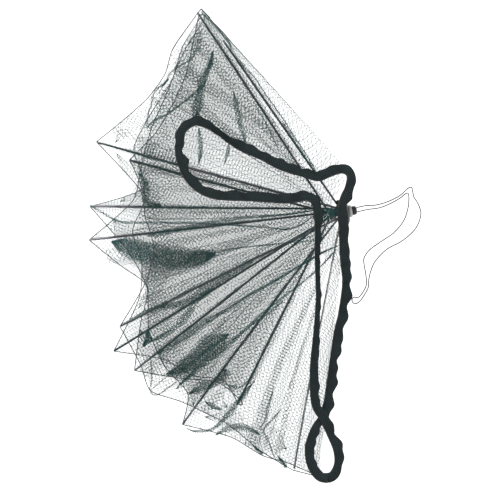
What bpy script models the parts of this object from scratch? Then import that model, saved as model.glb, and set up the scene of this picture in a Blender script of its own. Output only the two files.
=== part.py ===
"""Folding bait trap, half folded into a fan and laid flat.

Two six-gored nets, each carried by six steel ribs on its own hub, lie one inside the other. Six
wall panels join their rims and are folded inwards, and each carries an entrance funnel. A long
mouth in the outer net is edged with two zip tapes, and a doubled pull cord leaves the rear hub.

Metres, +Z up. The origin is on the surface, under the middle of the rear hub, and the fan opens
towards -X. Angles are in degrees from +X, seen from above, and a reach is a distance from the origin.
"""

import math
from typing import NamedTuple

import bmesh
import bpy
from mathutils import Vector
from mathutils.bvhtree import BVHTree

# Driving dimensions
NET_THICKNESS = 0.0012
RIB_RADIUS = 0.00125
GAP = 0.0003
RIB_TO_NET = RIB_RADIUS + GAP + NET_THICKNESS / 2
AXIS_ANGLE = 190.0
AXIS_HEIGHT = 0.015
REAR_HUB_RADIUS = 0.015
REAR_HUB_LENGTH = 0.010
FRONT_HUB_RADIUS = 0.0075
FRONT_HUB_LENGTH = 0.007
FRONT_HUB_AHEAD = 0.013
STEM_RADIUS = 0.0035
SOCKET_DEPTH = 0.0012
OUTER_SLEEVE = 0.008
INNER_SLEEVE = 0.006
TAPE_WIDTH = 0.011
TAPE_THICKNESS = 0.0012
CORD_RADIUS = 0.0006
CORD_REST = CORD_RADIUS + 0.0001
OUTER_CELLS = 9
INNER_CELLS = 8
STEPS = 3
FOLD_ROUNDING = 0.35


class Rib(NamedTuple):
    """A rib: where it leaves its hub, across and above the axis, and where its tip lies."""

    corner: str
    across: float
    above: float
    angle: float
    reach: float
    height: float
    side: int


OUTER_RIBS = {
    rib.corner: rib
    for rib in (
        Rib("a", 0.0105, 0.0050, 125.4, 0.2360, 0.0315, 1),
        Rib("b", 0.0055, 0.0095, 164.3, 0.2885, 0.0315, 1),
        Rib("c", 0.0055, -0.0095, 178.6, 0.2890, 0.0056, -1),
        Rib("d", -0.0055, 0.0095, 207.0, 0.2825, 0.0315, 1),
        Rib("e", -0.0055, -0.0095, 232.8, 0.3028, 0.0056, -1),
        Rib("f", -0.0105, 0.0050, 259.0, 0.2965, 0.0120, 1),
    )
}
INNER_RIBS = {
    rib.corner: rib
    for rib in (
        Rib("a", 0.0050, 0.0030, 126.3, 0.2805, 0.0184, 1),
        Rib("b", 0.0030, 0.0050, 166.3, 0.2490, 0.0184, 1),
        Rib("c", 0.0030, -0.0050, 186.2, 0.2900, 0.0151, -1),
        Rib("d", -0.0030, 0.0050, 211.1, 0.3035, 0.0184, 1),
        Rib("e", -0.0030, -0.0050, 217.1, 0.2975, 0.0151, -1),
        Rib("f", -0.0050, 0.0030, 240.9, 0.2490, 0.0184, 1),
    )
}


class Line(NamedTuple):
    """A line of a net from hub to rim: along a rib, along a fold, or beside a rib or a root point.

    angle, reach and height place the rim. belly lifts and sway shifts the middle. A line with a
    corner lies along that rib, or beyond it by `beyond`. root is the angle, reach and height of
    the hub end where nothing else sets it, or its height alone beyond a rib.
    """

    angle: float = 0.0
    reach: float = 0.0
    height: float = 0.0
    belly: float = 0.0
    sway: float = 0.0
    corner: str = ""
    beyond: float = 0.0
    root: tuple = ()


OUTER_LINES = (
    Line(125.3, 0.2790, 0.0295, root=(81.6, 0.0447, 0.0160)),
    Line(corner="a", reach=0.2650, height=0.0344, beyond=-0.0026, root=(0.0224,)),
    Line(corner="a", reach=0.2790),
    Line(136.2, 0.2665, 0.0304, 0.0005, 0.004),
    Line(142.6, 0.2540, 0.0330, -0.0003, -0.003),
    Line(150.0, 0.2555, 0.0303, 0.0004, 0.005),
    Line(157.2, 0.2680, 0.0326, 0.0, -0.002),
    Line(corner="b", reach=0.2895),
    Line(173.6, 0.2320, 0.0303, 0.0004, -0.003),
    Line(181.5, 0.2240, 0.0330, -0.0003, 0.004),
    Line(190.5, 0.2180, 0.0303, 0.0005, -0.004),
    Line(199.5, 0.2370, 0.0328, 0.0, 0.003),
    Line(corner="d", reach=0.2835),
    Line(214.0, 0.2550, 0.0304, 0.0004, -0.004),
    Line(222.0, 0.2600, 0.0330, 0.0, 0.005),
    Line(231.0, 0.2620, 0.0303, 0.0004, -0.003),
    Line(241.0, 0.2720, 0.0315, 0.0, 0.004),
    Line(250.5, 0.2850, 0.0238, 0.0, -0.002),
    Line(corner="f", reach=0.2985),
    Line(corner="f", reach=0.2985, height=0.0139, beyond=0.0030, root=(0.0217,)),
    Line(264.4, 0.3025, 0.0042, root=(270.0, 0.0350, 0.0080)),
    Line(264.8, 0.3028, 0.0024, root=(271.5, 0.0352, 0.0055)),
    Line(264.0, 0.3018, 0.0007, root=(269.0, 0.0346, 0.0030)),
    Line(257.5, 0.2930, 0.0010),
    Line(251.6, 0.2925, 0.0028, 0.0, 0.003),
    Line(243.5, 0.2870, 0.0008, 0.0, -0.003),
    Line(corner="e", reach=0.3038),
    Line(229.5, 0.2730, 0.0007, 0.0, 0.003),
    Line(221.0, 0.2690, 0.0030, 0.0, -0.004),
    Line(211.5, 0.2600, 0.0007, 0.0, 0.003),
    Line(201.0, 0.2400, 0.0029, 0.0, -0.003),
    Line(190.0, 0.2500, 0.0008, 0.0, 0.002),
    Line(corner="c", reach=0.2900),
    Line(173.0, 0.2300, 0.0007, 0.0, -0.003),
    Line(163.0, 0.2500, 0.0030, 0.0, 0.004),
    Line(152.0, 0.2470, 0.0007, 0.0, -0.003),
    Line(142.5, 0.2470, 0.0029, 0.0, 0.003),
    Line(134.0, 0.2640, 0.0008),
    Line(127.5, 0.2735, 0.0030),
    Line(125.4, 0.2780, 0.0060, root=(82.5, 0.0440, 0.0060)),
    Line(124.9, 0.2795, 0.0175, root=(80.0, 0.0452, 0.0110)),
)
INNER_LINES = (
    Line(corner="a", reach=0.2820),
    Line(138.5, 0.2380, 0.0186, 0.0, 0.003),
    Line(148.0, 0.2290, 0.0205, 0.0, -0.003),
    Line(157.0, 0.2310, 0.0186, 0.0, 0.002),
    Line(corner="b", reach=0.2500),
    Line(176.0, 0.2260, 0.0187, 0.0, -0.003),
    Line(185.0, 0.2400, 0.0205, 0.0, 0.003),
    Line(194.0, 0.2360, 0.0187, 0.0, -0.002),
    Line(203.0, 0.2520, 0.0204, 0.0, 0.002),
    Line(corner="d", reach=0.3045),
    Line(219.0, 0.2640, 0.0187, 0.0, 0.003),
    Line(227.0, 0.2520, 0.0204, 0.0, -0.003),
    Line(234.5, 0.2340, 0.0188),
    Line(corner="f", reach=0.2500),
    Line(corner="f", reach=0.2490, height=0.0203, beyond=0.0028, root=(0.0199,)),
    Line(corner="f", reach=0.2470, height=0.0170, beyond=0.0056, root=(0.0150,)),
    Line(corner="f", reach=0.2450, height=0.0128, beyond=0.0025, root=(0.0082,)),
    Line(233.5, 0.2400, 0.0148, 0.0, 0.002),
    Line(225.5, 0.2640, 0.0128, 0.0, -0.002),
    Line(corner="e", reach=0.2985),
    Line(208.5, 0.2620, 0.0148, 0.0, 0.003),
    Line(200.8, 0.2380, 0.0129, 0.0, -0.003),
    Line(193.5, 0.2600, 0.0148, 0.0, 0.002),
    Line(corner="c", reach=0.2910),
    Line(177.0, 0.2400, 0.0147, 0.0, -0.003),
    Line(167.0, 0.2360, 0.0129, 0.0, 0.003),
    Line(156.5, 0.2380, 0.0148, 0.0, -0.003),
    Line(146.0, 0.2420, 0.0129, 0.0, 0.003),
    Line(135.5, 0.2560, 0.0147),
    Line(corner="a", reach=0.2740, height=0.0128, beyond=-0.0025, root=(0.0082,)),
    Line(corner="a", reach=0.2750, height=0.0170, beyond=-0.0056, root=(0.0150,)),
    Line(corner="a", reach=0.2780, height=0.0203, beyond=-0.0028, root=(0.0199,)),
)


class Wall(NamedTuple):
    """A wall panel: the outer net's lines that it runs between, its depth and its two heights."""

    first: float
    last: float
    depth: float
    upper: float
    lower: float


WALLS = (
    Wall(2.35, 6.70, 0.12, 0.0272, 0.0256),
    Wall(7.30, 11.60, 0.10, 0.0272, 0.0256),
    Wall(12.40, 15.80, 0.13, 0.0272, 0.0256),
    Wall(23.20, 25.60, 0.12, 0.0098, 0.0082),
    Wall(26.40, 31.60, 0.11, 0.0098, 0.0082),
    Wall(32.40, 37.60, 0.12, 0.0098, 0.0082),
)


class Funnel(NamedTuple):
    """A flattened funnel: its middle's angle, its two reaches, half widths and heights, and its bend."""

    angle: float
    near: float
    far: float
    near_half: float
    far_half: float
    top: float
    bottom: float
    bend: float


FUNNELS = (
    Funnel(143.0, 0.160, 0.238, 0.014, 0.027, 0.0243, 0.0220, 0.006),
    Funnel(190.5, 0.140, 0.212, 0.015, 0.030, 0.0240, 0.0224, -0.007),
    Funnel(231.0, 0.165, 0.240, 0.014, 0.028, 0.0243, 0.0219, 0.006),
    Funnel(160.5, 0.160, 0.235, 0.014, 0.028, 0.0066, 0.0048, -0.005),
    Funnel(206.5, 0.165, 0.236, 0.015, 0.030, 0.0066, 0.0048, 0.006),
    Funnel(245.5, 0.175, 0.270, 0.013, 0.024, 0.0071, 0.0041, -0.005),
)


class Bend(NamedTuple):
    """A point of a zip tape's run: its place, how far it is turned on edge and its least height."""

    x: float
    y: float
    turn: float = 0.0
    least: float = 0.0


LOOP_START = 0.0747
TAPE_MEETING = (-0.0165, -0.3040)
UPPER_TAPE = (
    Bend(-0.1855, LOOP_START + 0.0006),
    Bend(-0.1844, 0.0883),
    Bend(-0.1776, 0.0973),
    Bend(-0.1686, 0.1018),
    Bend(-0.1607, 0.1007, 15.0),
    Bend(-0.1516, 0.0962, 40.0),
    Bend(-0.1381, 0.0860, 62.0),
    Bend(-0.1268, 0.0792, 40.0),
    Bend(-0.1166, 0.0736, 15.0),
    Bend(-0.0929, 0.0634),
    Bend(-0.0759, 0.0544),
    Bend(-0.0612, 0.0487),
    Bend(-0.0443, 0.0442),
    Bend(-0.0296, 0.0400),
    Bend(-0.0160, 0.0453),
    Bend(-0.0014, 0.0490),
    Bend(0.0076, 0.0418, 0.0, 0.0240),
    Bend(0.0055, 0.0272, 0.0, 0.0300),
    Bend(-0.0002, 0.0145, 0.0, 0.0318),
    Bend(-0.0030, 0.0001, 0.0, 0.0318),
    Bend(-0.0014, -0.0180, 0.0, 0.0300),
    Bend(-0.0004, -0.0349, 0.0, 0.0200),
    Bend(0.0014, -0.0564),
    Bend(0.0043, -0.0767),
    Bend(0.0032, -0.0937),
    Bend(-0.0004, -0.1163),
    Bend(-0.0056, -0.1366),
    Bend(-0.0112, -0.1739),
    Bend(-0.0166, -0.2123),
    Bend(-0.0228, -0.2326),
    Bend(-0.0319, -0.2462),
    Bend(-0.0386, -0.2654),
    Bend(-0.0375, -0.2824),
    Bend(-0.0319, -0.2948),
    Bend(-0.0251, -0.3018),
    Bend(TAPE_MEETING[0] - 0.0004, TAPE_MEETING[1] - 0.0002),
)
LOWER_TAPE = (
    Bend(-0.1855, LOOP_START - 0.0006),
    Bend(-0.1844, 0.0623),
    Bend(-0.1799, 0.0487),
    Bend(-0.1731, 0.0363),
    Bend(-0.1618, 0.0261),
    Bend(-0.1494, 0.0205),
    Bend(-0.1347, 0.0182),
    Bend(-0.1031, 0.0171),
    Bend(-0.0861, 0.0159),
    Bend(-0.0669, 0.0148),
    Bend(-0.0545, 0.0159),
    Bend(-0.0409, 0.0175),
    Bend(-0.0317, 0.0090),
    Bend(-0.0298, -0.0146, 25.0),
    Bend(-0.0307, -0.0405, 58.0),
    Bend(-0.0307, -0.0598, 25.0),
    Bend(-0.0296, -0.0937),
    Bend(-0.0307, -0.1196),
    Bend(-0.0319, -0.1411),
    Bend(-0.0341, -0.1784),
    Bend(-0.0319, -0.2157, 0.0, 0.0160),
    Bend(-0.0228, -0.2326, 0.0, 0.0160),
    Bend(-0.0126, -0.2541, 0.0, 0.0120),
    Bend(-0.0059, -0.2711),
    Bend(-0.0047, -0.2869),
    Bend(-0.0100, -0.2993),
    Bend(TAPE_MEETING[0] + 0.0004, TAPE_MEETING[1] + 0.0002),
)
LOOP_BENDS_UPPER = 14
LOOP_BENDS_LOWER = 12
STRAP_STEP = 0.008

# The pull cord: out along one strand to the end loop and back along the other
CORD_ROUTE = (
    (0.0050, 0.0024, 0.0165),
    (0.0110, 0.0038, 0.0150),
    (0.0179, 0.0062, 0.0075),
    (0.0270, 0.0080, 0.0016),
    (0.0382, 0.0088, CORD_REST),
    (0.0518, 0.0128, CORD_REST),
    (0.0653, 0.0198, CORD_REST),
    (0.0740, 0.0276, CORD_REST),
    (0.0782, 0.0290, CORD_REST),
    (0.0794, 0.0250, CORD_REST),
    (0.0812, 0.0175, CORD_REST),
    (0.0857, 0.0103, CORD_REST),
    (0.0890, -0.0020, CORD_REST),
    (0.0830, -0.0180, CORD_REST),
    (0.0680, -0.0320, CORD_REST),
    (0.0500, -0.0420, CORD_REST),
    (0.0371, -0.0553, CORD_REST),
    (0.0320, -0.0660, CORD_REST),
    (0.0294, -0.0768, CORD_REST),
    (0.0288, -0.0856, CORD_REST),
    (0.0245, -0.0938, CORD_REST),
    (0.0195, -0.1010, CORD_REST),
    (0.0150, -0.1040, CORD_REST),
    (0.0110, -0.1028, CORD_REST),
    (0.0104, -0.0985, CORD_REST),
    (0.0130, -0.0966, CORD_REST),
    (0.0172, -0.0972, CORD_REST),
    (0.0219, -0.0922, CORD_REST),
    (0.0262, -0.0840, CORD_REST),
    (0.0266, -0.0760, CORD_REST),
    (0.0256, -0.0680, CORD_REST),
    (0.0241, -0.0598, CORD_REST),
    (0.0241, -0.0519, CORD_REST),
    (0.0300, -0.0430, CORD_REST),
    (0.0420, -0.0340, CORD_REST),
    (0.0580, -0.0230, CORD_REST),
    (0.0695, -0.0090, CORD_REST),
    (0.0744, 0.0058, CORD_REST),
    (0.0752, 0.0130, CORD_REST),
    (0.0752, 0.0190, CORD_REST),
    (0.0740, 0.0225, CORD_REST),
    (0.0700, 0.0205, CORD_REST),
    (0.0653, 0.0166, CORD_REST),
    (0.0530, 0.0098, CORD_REST),
    (0.0416, 0.0055, CORD_REST),
    (0.0290, 0.0036, 0.0018),
    (0.0190, 0.0014, 0.0075),
    (0.0115, -0.0004, 0.0130),
    (0.0055, -0.0008, 0.0145),
)
CORD_POINTS = 78


def polar(angle, reach, height=0.0):
    """A point at this angle and reach from the origin."""
    turn = math.radians(angle)
    return Vector((reach * math.cos(turn), reach * math.sin(turn), height))


AHEAD = polar(AXIS_ANGLE, 1.0)
ACROSS = polar(AXIS_ANGLE - 90.0, 1.0)


def clear_scene():
    """Remove whatever the scene holds."""
    for old in list(bpy.data.objects):
        bpy.data.objects.remove(old, do_unlink=True)


def material(name, colour, roughness, metallic=0.0):
    """A Principled material of one colour."""
    made = bpy.data.materials.new(name)
    made.use_nodes = True
    shader = made.node_tree.nodes["Principled BSDF"]
    shader.inputs["Base Color"].default_value = (*colour, 1.0)
    shader.inputs["Roughness"].default_value = roughness
    shader.inputs["Metallic"].default_value = metallic
    return made


def place(name, mesh_data, finish):
    """Link a mesh as a named object with one material."""
    mesh_data.materials.append(finish)
    placed = bpy.data.objects.new(name, mesh_data)
    bpy.context.scene.collection.objects.link(placed)
    return placed


def mesh_from(name, points, faces):
    """A mesh from points and faces, its normals made consistent."""
    grid = bmesh.new()
    corners = [grid.verts.new(point) for point in points]
    for face in faces:
        grid.faces.new([corners[index] for index in face])
    bmesh.ops.recalc_face_normals(grid, faces=grid.faces)
    made = bpy.data.meshes.new(name)
    grid.to_mesh(made)
    grid.free()
    return made


def loop_faces(stations, around, closed=True):
    """Quads over a grid of stations, each a ring of points, in the order of the stations."""
    faces = []
    for station in range(stations - 1):
        for step in range(around if closed else around - 1):
            after = (step + 1) % around
            low = station * around
            high = low + around
            faces.append((low + step, low + after, high + after, high + step))
    return faces


def thicken(sheet, thickness):
    """Give a sheet its thickness, half to each side."""
    solid = sheet.modifiers.new("Thickness", "SOLIDIFY")
    solid.thickness = thickness
    solid.offset = 0.0


def ease(share):
    """A share from 0 to 1 that starts and ends level."""
    return share * share * (3.0 - 2.0 * share)


def hermite(start, end, leave, arrive, share):
    """A curve from start to end that leaves and arrives along the two given slopes."""
    square = share * share
    cube = square * share
    return (
        start * (2 * cube - 3 * square + 1)
        + leave * (cube - 2 * square + share)
        + end * (3 * square - 2 * cube)
        + arrive * (cube - square)
    )


def rib_ends(rib, hub_ahead, face_ahead):
    """The two ends of a rib, the first just off its hub's face."""
    tip = polar(rib.angle, rib.reach, rib.height)
    centre = AHEAD * (hub_ahead + face_ahead + GAP + SOCKET_DEPTH)
    start = centre + ACROSS * rib.across + Vector((0.0, 0.0, AXIS_HEIGHT + rib.above))
    return start, tip


class Net:
    """A net as a closed ring of lines from its hub to its rim."""

    def __init__(self, lines, ribs, hub_ahead, hub_length, sleeve):
        self.lines = lines
        self.ribs = {
            corner: rib_ends(rib, hub_ahead, hub_length / 2) for corner, rib in ribs.items()
        }
        self.sides = {corner: rib.side for corner, rib in ribs.items()}
        self.sleeve = sleeve
        self.roots = [None] * len(lines)
        self.rims = [None] * len(lines)
        self.place_fixed_lines()
        self.place_folds()

    def place_fixed_lines(self):
        """Lay the lines that a rib or a root point holds."""
        for index, line in enumerate(self.lines):
            if line.corner:
                start, tip = self.ribs[line.corner]
                run = (tip - start).normalized()
                level = Vector((run.x, run.y, 0.0)).normalized()
                aside = Vector((-level.y, level.x, 0.0)) * line.beyond
                lift = Vector((0.0, 0.0, RIB_TO_NET * self.sides[line.corner]))
                root = start + run * self.sleeve + aside
                rim = root + run * ((line.reach - math.hypot(root.x, root.y)) / level.length)
                if line.beyond:
                    root.z, rim.z = line.root[0], line.height
                else:
                    root += lift
                    rim += lift
                self.roots[index], self.rims[index] = root, rim
            elif line.root:
                self.roots[index] = polar(*line.root)
                self.rims[index] = polar(line.angle, line.reach, line.height)

    def place_folds(self):
        """Start each fold between the lines on its two sides that are already laid."""
        held = [index for index, root in enumerate(self.roots) if root is not None]
        for index, line in enumerate(self.lines):
            if index in held:
                continue
            before = max(other for other in held if other < index)
            after = min((other for other in held if other > index), default=0)
            count = (after or len(self.lines)) - before
            share = (index - before) / count
            self.roots[index] = self.roots[before].lerp(self.roots[after], share)
            self.rims[index] = polar(line.angle, line.reach, line.height)

    def slope(self, points, index):
        """How a fold's end runs on from its neighbours. A line on a rib or an edge stays sharp."""
        line = self.lines[index]
        if line.corner or line.root:
            return Vector()
        count = len(points)
        run = (points[(index + 1) % count] - points[index - 1]) * FOLD_ROUNDING
        return Vector((run.x, run.y, 0.0))

    def point(self, around, along):
        """The net's middle surface at a place around the ring of lines and along from hub to rim."""
        count = len(self.lines)
        index = int(around) % count
        after = (index + 1) % count
        share = around - int(around)
        ends = [
            hermite(
                points[index],
                points[after],
                self.slope(points, index),
                self.slope(points, after),
                share,
            )
            for points in (self.roots, self.rims)
        ]
        here = ends[0].lerp(ends[1], along)
        run = ends[1] - ends[0]
        level = Vector((run.x, run.y, 0.0)).normalized()
        hump = math.sin(math.pi * along)
        first, second = self.lines[index], self.lines[after]
        sway = first.sway + (second.sway - first.sway) * ease(share)
        belly = first.belly + (second.belly - first.belly) * ease(share)
        return here + Vector((-level.y, level.x, 0.0)) * (sway * hump) + Vector((0.0, 0.0, belly * hump))

    def sheet(self, name, cells):
        """The net's middle surface as a mesh."""
        around = len(self.lines) * STEPS
        points = [
            self.point(step / STEPS, cell / cells)
            for cell in range(cells + 1)
            for step in range(around)
        ]
        return mesh_from(name, points, loop_faces(cells + 1, around))


def spline(points, count):
    """Points read at even steps along a smooth curve through the given ones."""
    dense = []
    for index in range(len(points) - 1):
        before = points[max(index - 1, 0)]
        after = points[min(index + 2, len(points) - 1)]
        start, end = points[index], points[index + 1]
        for step in range(12):
            dense.append(hermite(start, end, (end - before) / 2, (after - start) / 2, step / 12))
    dense.append(points[-1])
    reached = [0.0]
    for index in range(1, len(dense)):
        reached.append(reached[-1] + (dense[index] - dense[index - 1]).length)
    even = []
    index = 0
    for step in range(count):
        goal = reached[-1] * step / (count - 1)
        while index < len(dense) - 2 and reached[index + 1] < goal:
            index += 1
        share = (goal - reached[index]) / (reached[index + 1] - reached[index])
        even.append(dense[index].lerp(dense[index + 1], min(share, 1.0)))
    return even


def run_length(points):
    """The length of a run of points."""
    return sum((after - before).length for before, after in zip(points, points[1:]))


def tape_run(bends, surface):
    """The middle line and the edge-to-edge direction of a tape, laid over a surface."""
    rows = [Vector((bend.x, bend.y, 0.0)) for bend in bends]
    count = int(run_length(rows) / STRAP_STEP) + 1
    plan = spline(rows, count)
    total, reached = run_length(rows), [0.0]
    for before, after in zip(rows, rows[1:]):
        reached.append(reached[-1] + (after - before).length)
    turns, least = [], []
    for step in range(count):
        goal = total * step / (count - 1)
        index = max(number for number in range(len(rows) - 1) if reached[number] <= goal + 1e-9)
        share = min((goal - reached[index]) / (reached[index + 1] - reached[index]), 1.0)
        first, second = bends[index], bends[index + 1]
        turns.append(math.radians(first.turn + (second.turn - first.turn) * share))
        least.append(first.least + (second.least - first.least) * share)
    sides, heights = [], []
    for step, here in enumerate(plan):
        run = (plan[min(step + 1, count - 1)] - plan[max(step - 1, 0)]).normalized()
        side = Vector((-run.y, run.x, 0.0))
        sides.append(side * math.cos(turns[step]) + Vector((0.0, 0.0, math.sin(turns[step]))))
        under = TAPE_THICKNESS / 2
        for share in (-0.55, -0.3, 0.0, 0.3, 0.55):
            spot = here + side * (TAPE_WIDTH * share)
            hit = surface.ray_cast(Vector((spot.x, spot.y, 0.1)), Vector((0.0, 0.0, -1.0)))[0]
            if hit:
                under = max(under, hit.z + NET_THICKNESS / 2 + 2 * GAP + TAPE_THICKNESS / 2)
        lift = TAPE_WIDTH / 2 * math.sin(turns[step])
        heights.append(max(under + lift, least[step]))
    widest = [max(heights[max(step - 1, 0) : step + 2]) for step in range(count)]
    for step, here in enumerate(plan):
        near = widest[max(step - 1, 0) : step + 2]
        here.z = sum(near) / len(near)
    return plan, sides


def add_tape(name, bends, surface, finish):
    """A flat zip tape along its bends."""
    middle, sides = tape_run(bends, surface)
    points = []
    for step, here in enumerate(middle):
        run = (middle[min(step + 1, len(middle) - 1)] - middle[max(step - 1, 0)]).normalized()
        side = sides[step] * (TAPE_WIDTH / 2)
        up = run.cross(sides[step]).normalized() * (TAPE_THICKNESS / 2)
        points += [here - side - up, here + side - up, here + side + up, here - side + up]
    faces = loop_faces(len(middle), 4)
    last = 4 * (len(middle) - 1)
    faces += [(3, 2, 1, 0), (last, last + 1, last + 2, last + 3)]
    return place(name, mesh_from(name, points, faces), finish)


def mouth_outline():
    """The mouth's left part: the middle of the two tapes round their loop."""
    there = [Vector((bend.x, bend.y, 0.0)) for bend in LOWER_TAPE[:LOOP_BENDS_LOWER]]
    back = [Vector((bend.x, bend.y, 0.0)) for bend in UPPER_TAPE[1:LOOP_BENDS_UPPER]]
    return there + back[::-1]


def strap_outline():
    """The mouth's right part: between the two tapes, from the hub to where they cross."""
    left = [(-0.0105, -0.045), (-0.0165, -0.080), (-0.0230, -0.115), (-0.0270, -0.150), (-0.0300, -0.190)]
    right = [(-0.0260, -0.212), (-0.0238, -0.190), (-0.0190, -0.150), (-0.0150, -0.110), (-0.0108, -0.070)]
    return [Vector((x, y, 0.0)) for x, y in left + right]


def cutter(name, outline, low, high):
    """A hidden prism that cuts the mouth."""
    count = len(outline)
    points = [point + Vector((0.0, 0.0, level)) for level in (low, high) for point in outline]
    faces = [tuple(range(count))[::-1], tuple(range(count, 2 * count))]
    faces += [(step, (step + 1) % count, count + (step + 1) % count, count + step) for step in range(count)]
    made = bpy.data.objects.new(name, mesh_from(name, points, faces))
    bpy.context.scene.collection.objects.link(made)
    made.hide_render = True
    made.display_type = "WIRE"
    return made


def add_rib(name, ends, sides, finish):
    """A straight round rib between two points."""
    start, tip = ends
    run = (tip - start).normalized()
    across = run.cross(Vector((0.0, 0.0, 1.0))).normalized()
    up = across.cross(run)
    points = []
    for centre in (start, tip):
        for step in range(sides):
            turn = 2 * math.pi * (step + 0.5) / sides
            points.append(centre + across * (RIB_RADIUS * math.cos(turn)) + up * (RIB_RADIUS * math.sin(turn)))
    faces = loop_faces(2, sides) + [tuple(range(sides))[::-1], tuple(range(sides, 2 * sides))]
    return place(name, mesh_from(name, points, faces), finish)


def turned(name, profile, sides, finish):
    """A body turned about the hubs' axis, with a flat underneath, from (along, radius) pairs."""
    points = []
    for along, radius in profile:
        for step in range(sides):
            turn = 2 * math.pi * (step + 0.5) / sides
            flat = radius / math.cos(math.pi / sides)
            level = Vector((0.0, 0.0, AXIS_HEIGHT - flat * math.cos(turn)))
            points.append(AHEAD * along + ACROSS * (flat * math.sin(turn)) + level)
    last = sides * (len(profile) - 1)
    faces = loop_faces(len(profile), sides)
    faces += [tuple(range(sides)), tuple(range(last, last + sides))]
    return place(name, mesh_from(name, points, faces), finish)


def add_wall(name, wall, net, finish):
    """A wall panel folded double, just inside the outer rim."""
    columns = max(int((wall.last - wall.first) * 2.5), 5)
    folds = ((0.03, wall.upper), (0.55, wall.upper), (1.0, (wall.upper + wall.lower) / 2))
    folds += ((0.58, wall.lower), (0.08, wall.lower))
    points = []
    for depth, height in folds:
        for column in range(columns + 1):
            around = wall.first + (wall.last - wall.first) * column / columns
            uneven = 1.0 + 0.18 * math.sin(2.3 * column)
            spot = net.point(around, 1.0 - wall.depth * depth * (uneven if depth > 0.5 else 1.0))
            points.append(Vector((spot.x, spot.y, height)))
    faces = loop_faces(len(folds), columns + 1, closed=False)
    made = place(name, mesh_from(name, points, faces), finish)
    thicken(made, NET_THICKNESS)
    return made


def add_funnel(name, funnel, finish):
    """An entrance funnel pressed flat, with an uneven outline."""
    stations, around = 6, 12
    points = []
    for station in range(stations):
        share = station / (stations - 1)
        centre = polar(funnel.angle, funnel.near + (funnel.far - funnel.near) * share)
        aside = polar(funnel.angle + 90.0, 1.0)
        centre += aside * (funnel.bend * math.sin(1.5 * math.pi * share))
        half = funnel.near_half + (funnel.far_half - funnel.near_half) * ease(share)
        half *= 1.0 + 0.10 * math.sin(5.0 * share + funnel.angle)
        thick = (funnel.top - funnel.bottom) / 2
        for step in range(around):
            turn = 2 * math.pi * step / around
            lift = thick * math.copysign(min(abs(math.sin(turn)) * 2.5, 1.0), math.sin(turn))
            lean = polar(funnel.angle, 0.004 * math.cos(2 * turn) * share)
            spot = centre + aside * (half * math.cos(turn)) + lean
            points.append(Vector((spot.x, spot.y, (funnel.top + funnel.bottom) / 2 + lift)))
    made = place(name, mesh_from(name, points, loop_faces(stations, around)), finish)
    thicken(made, NET_THICKNESS / 2)
    return made


def add_cord(name, finish):
    """The pull cord as a round tube along its route."""
    route = spline([Vector(point) for point in CORD_ROUTE], CORD_POINTS)
    curve = bpy.data.curves.new(name, "CURVE")
    curve.dimensions = "3D"
    curve.bevel_depth = CORD_RADIUS
    curve.bevel_resolution = 1
    curve.use_fill_caps = True
    line = curve.splines.new("POLY")
    line.points.add(len(route) - 1)
    for target, point in zip(line.points, route):
        target.co = (*point, 1.0)
    return place(name, curve, finish)


def build():
    """Make every piece of the trap."""
    clear_scene()
    netting = material("netting", (0.045, 0.105, 0.095), 0.6)
    funnel_netting = material("funnel netting", (0.02, 0.09, 0.075), 0.6)
    steel = material("steel wire", (0.55, 0.56, 0.57), 0.35, 1.0)
    moulding = material("black moulding", (0.02, 0.02, 0.022), 0.45)
    collar = material("grey moulding", (0.62, 0.62, 0.60), 0.45)
    tape = material("zip tape", (0.012, 0.014, 0.014), 0.8)
    cord = material("cord", (0.05, 0.06, 0.055), 0.7)

    outer = Net(OUTER_LINES, OUTER_RIBS, 0.0, REAR_HUB_LENGTH, OUTER_SLEEVE)
    inner = Net(INNER_LINES, INNER_RIBS, FRONT_HUB_AHEAD, FRONT_HUB_LENGTH, INNER_SLEEVE)

    outer_mesh = outer.sheet("net_outer", OUTER_CELLS)
    surface = BVHTree.FromPolygons(
        [vertex.co for vertex in outer_mesh.vertices],
        [tuple(face.vertices) for face in outer_mesh.polygons],
    )
    net_outer = place("net_outer", outer_mesh, netting)
    thicken(net_outer, NET_THICKNESS)
    for number, (outline, low) in enumerate(((mouth_outline(), 0.026), (strap_outline(), 0.007))):
        cut = net_outer.modifiers.new("Mouth", "BOOLEAN")
        cut.object = cutter(f"mouth_cutter_{number + 1}", outline, low, 0.050)
    net_inner = place("net_inner", inner.sheet("net_inner", INNER_CELLS), netting)
    thicken(net_inner, NET_THICKNESS)

    for number, wall in enumerate(WALLS, 1):
        add_wall(f"wall_{number}", wall, outer, netting)
    for number, funnel in enumerate(FUNNELS, 1):
        add_funnel(f"funnel_{number}", funnel, funnel_netting)
    for side, net in (("outer", outer), ("inner", inner)):
        for corner, ends in net.ribs.items():
            add_rib(f"rib_{side}_{corner}", ends, 8, steel)

    rear, front = REAR_HUB_LENGTH / 2, FRONT_HUB_LENGTH / 2
    turned(
        "hub_rear",
        ((-rear, 0.0120), (1.5e-3 - rear, REAR_HUB_RADIUS), (rear, REAR_HUB_RADIUS)),
        16,
        moulding,
    )
    stem = FRONT_HUB_AHEAD - front
    turned(
        "hub_front",
        (
            (rear + GAP, STEM_RADIUS),
            (stem, STEM_RADIUS),
            (stem, FRONT_HUB_RADIUS),
            (stem + FRONT_HUB_LENGTH, FRONT_HUB_RADIUS),
        ),
        12,
        collar,
    )
    add_tape("tape_upper", UPPER_TAPE, surface, tape)
    add_tape("tape_lower", LOWER_TAPE, surface, tape)
    add_cord("pull_cord", cord)


build()
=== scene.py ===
"""Looks of the folding bait trap: knotless netting over steel ribs, zip tapes, hubs and a pull cord.

Metres, +Z up, in the frame of the solids. Every cloth is real strands: straight lines laid over its
flat pattern and carried into space by the way that the cloth is folded.
"""

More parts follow.
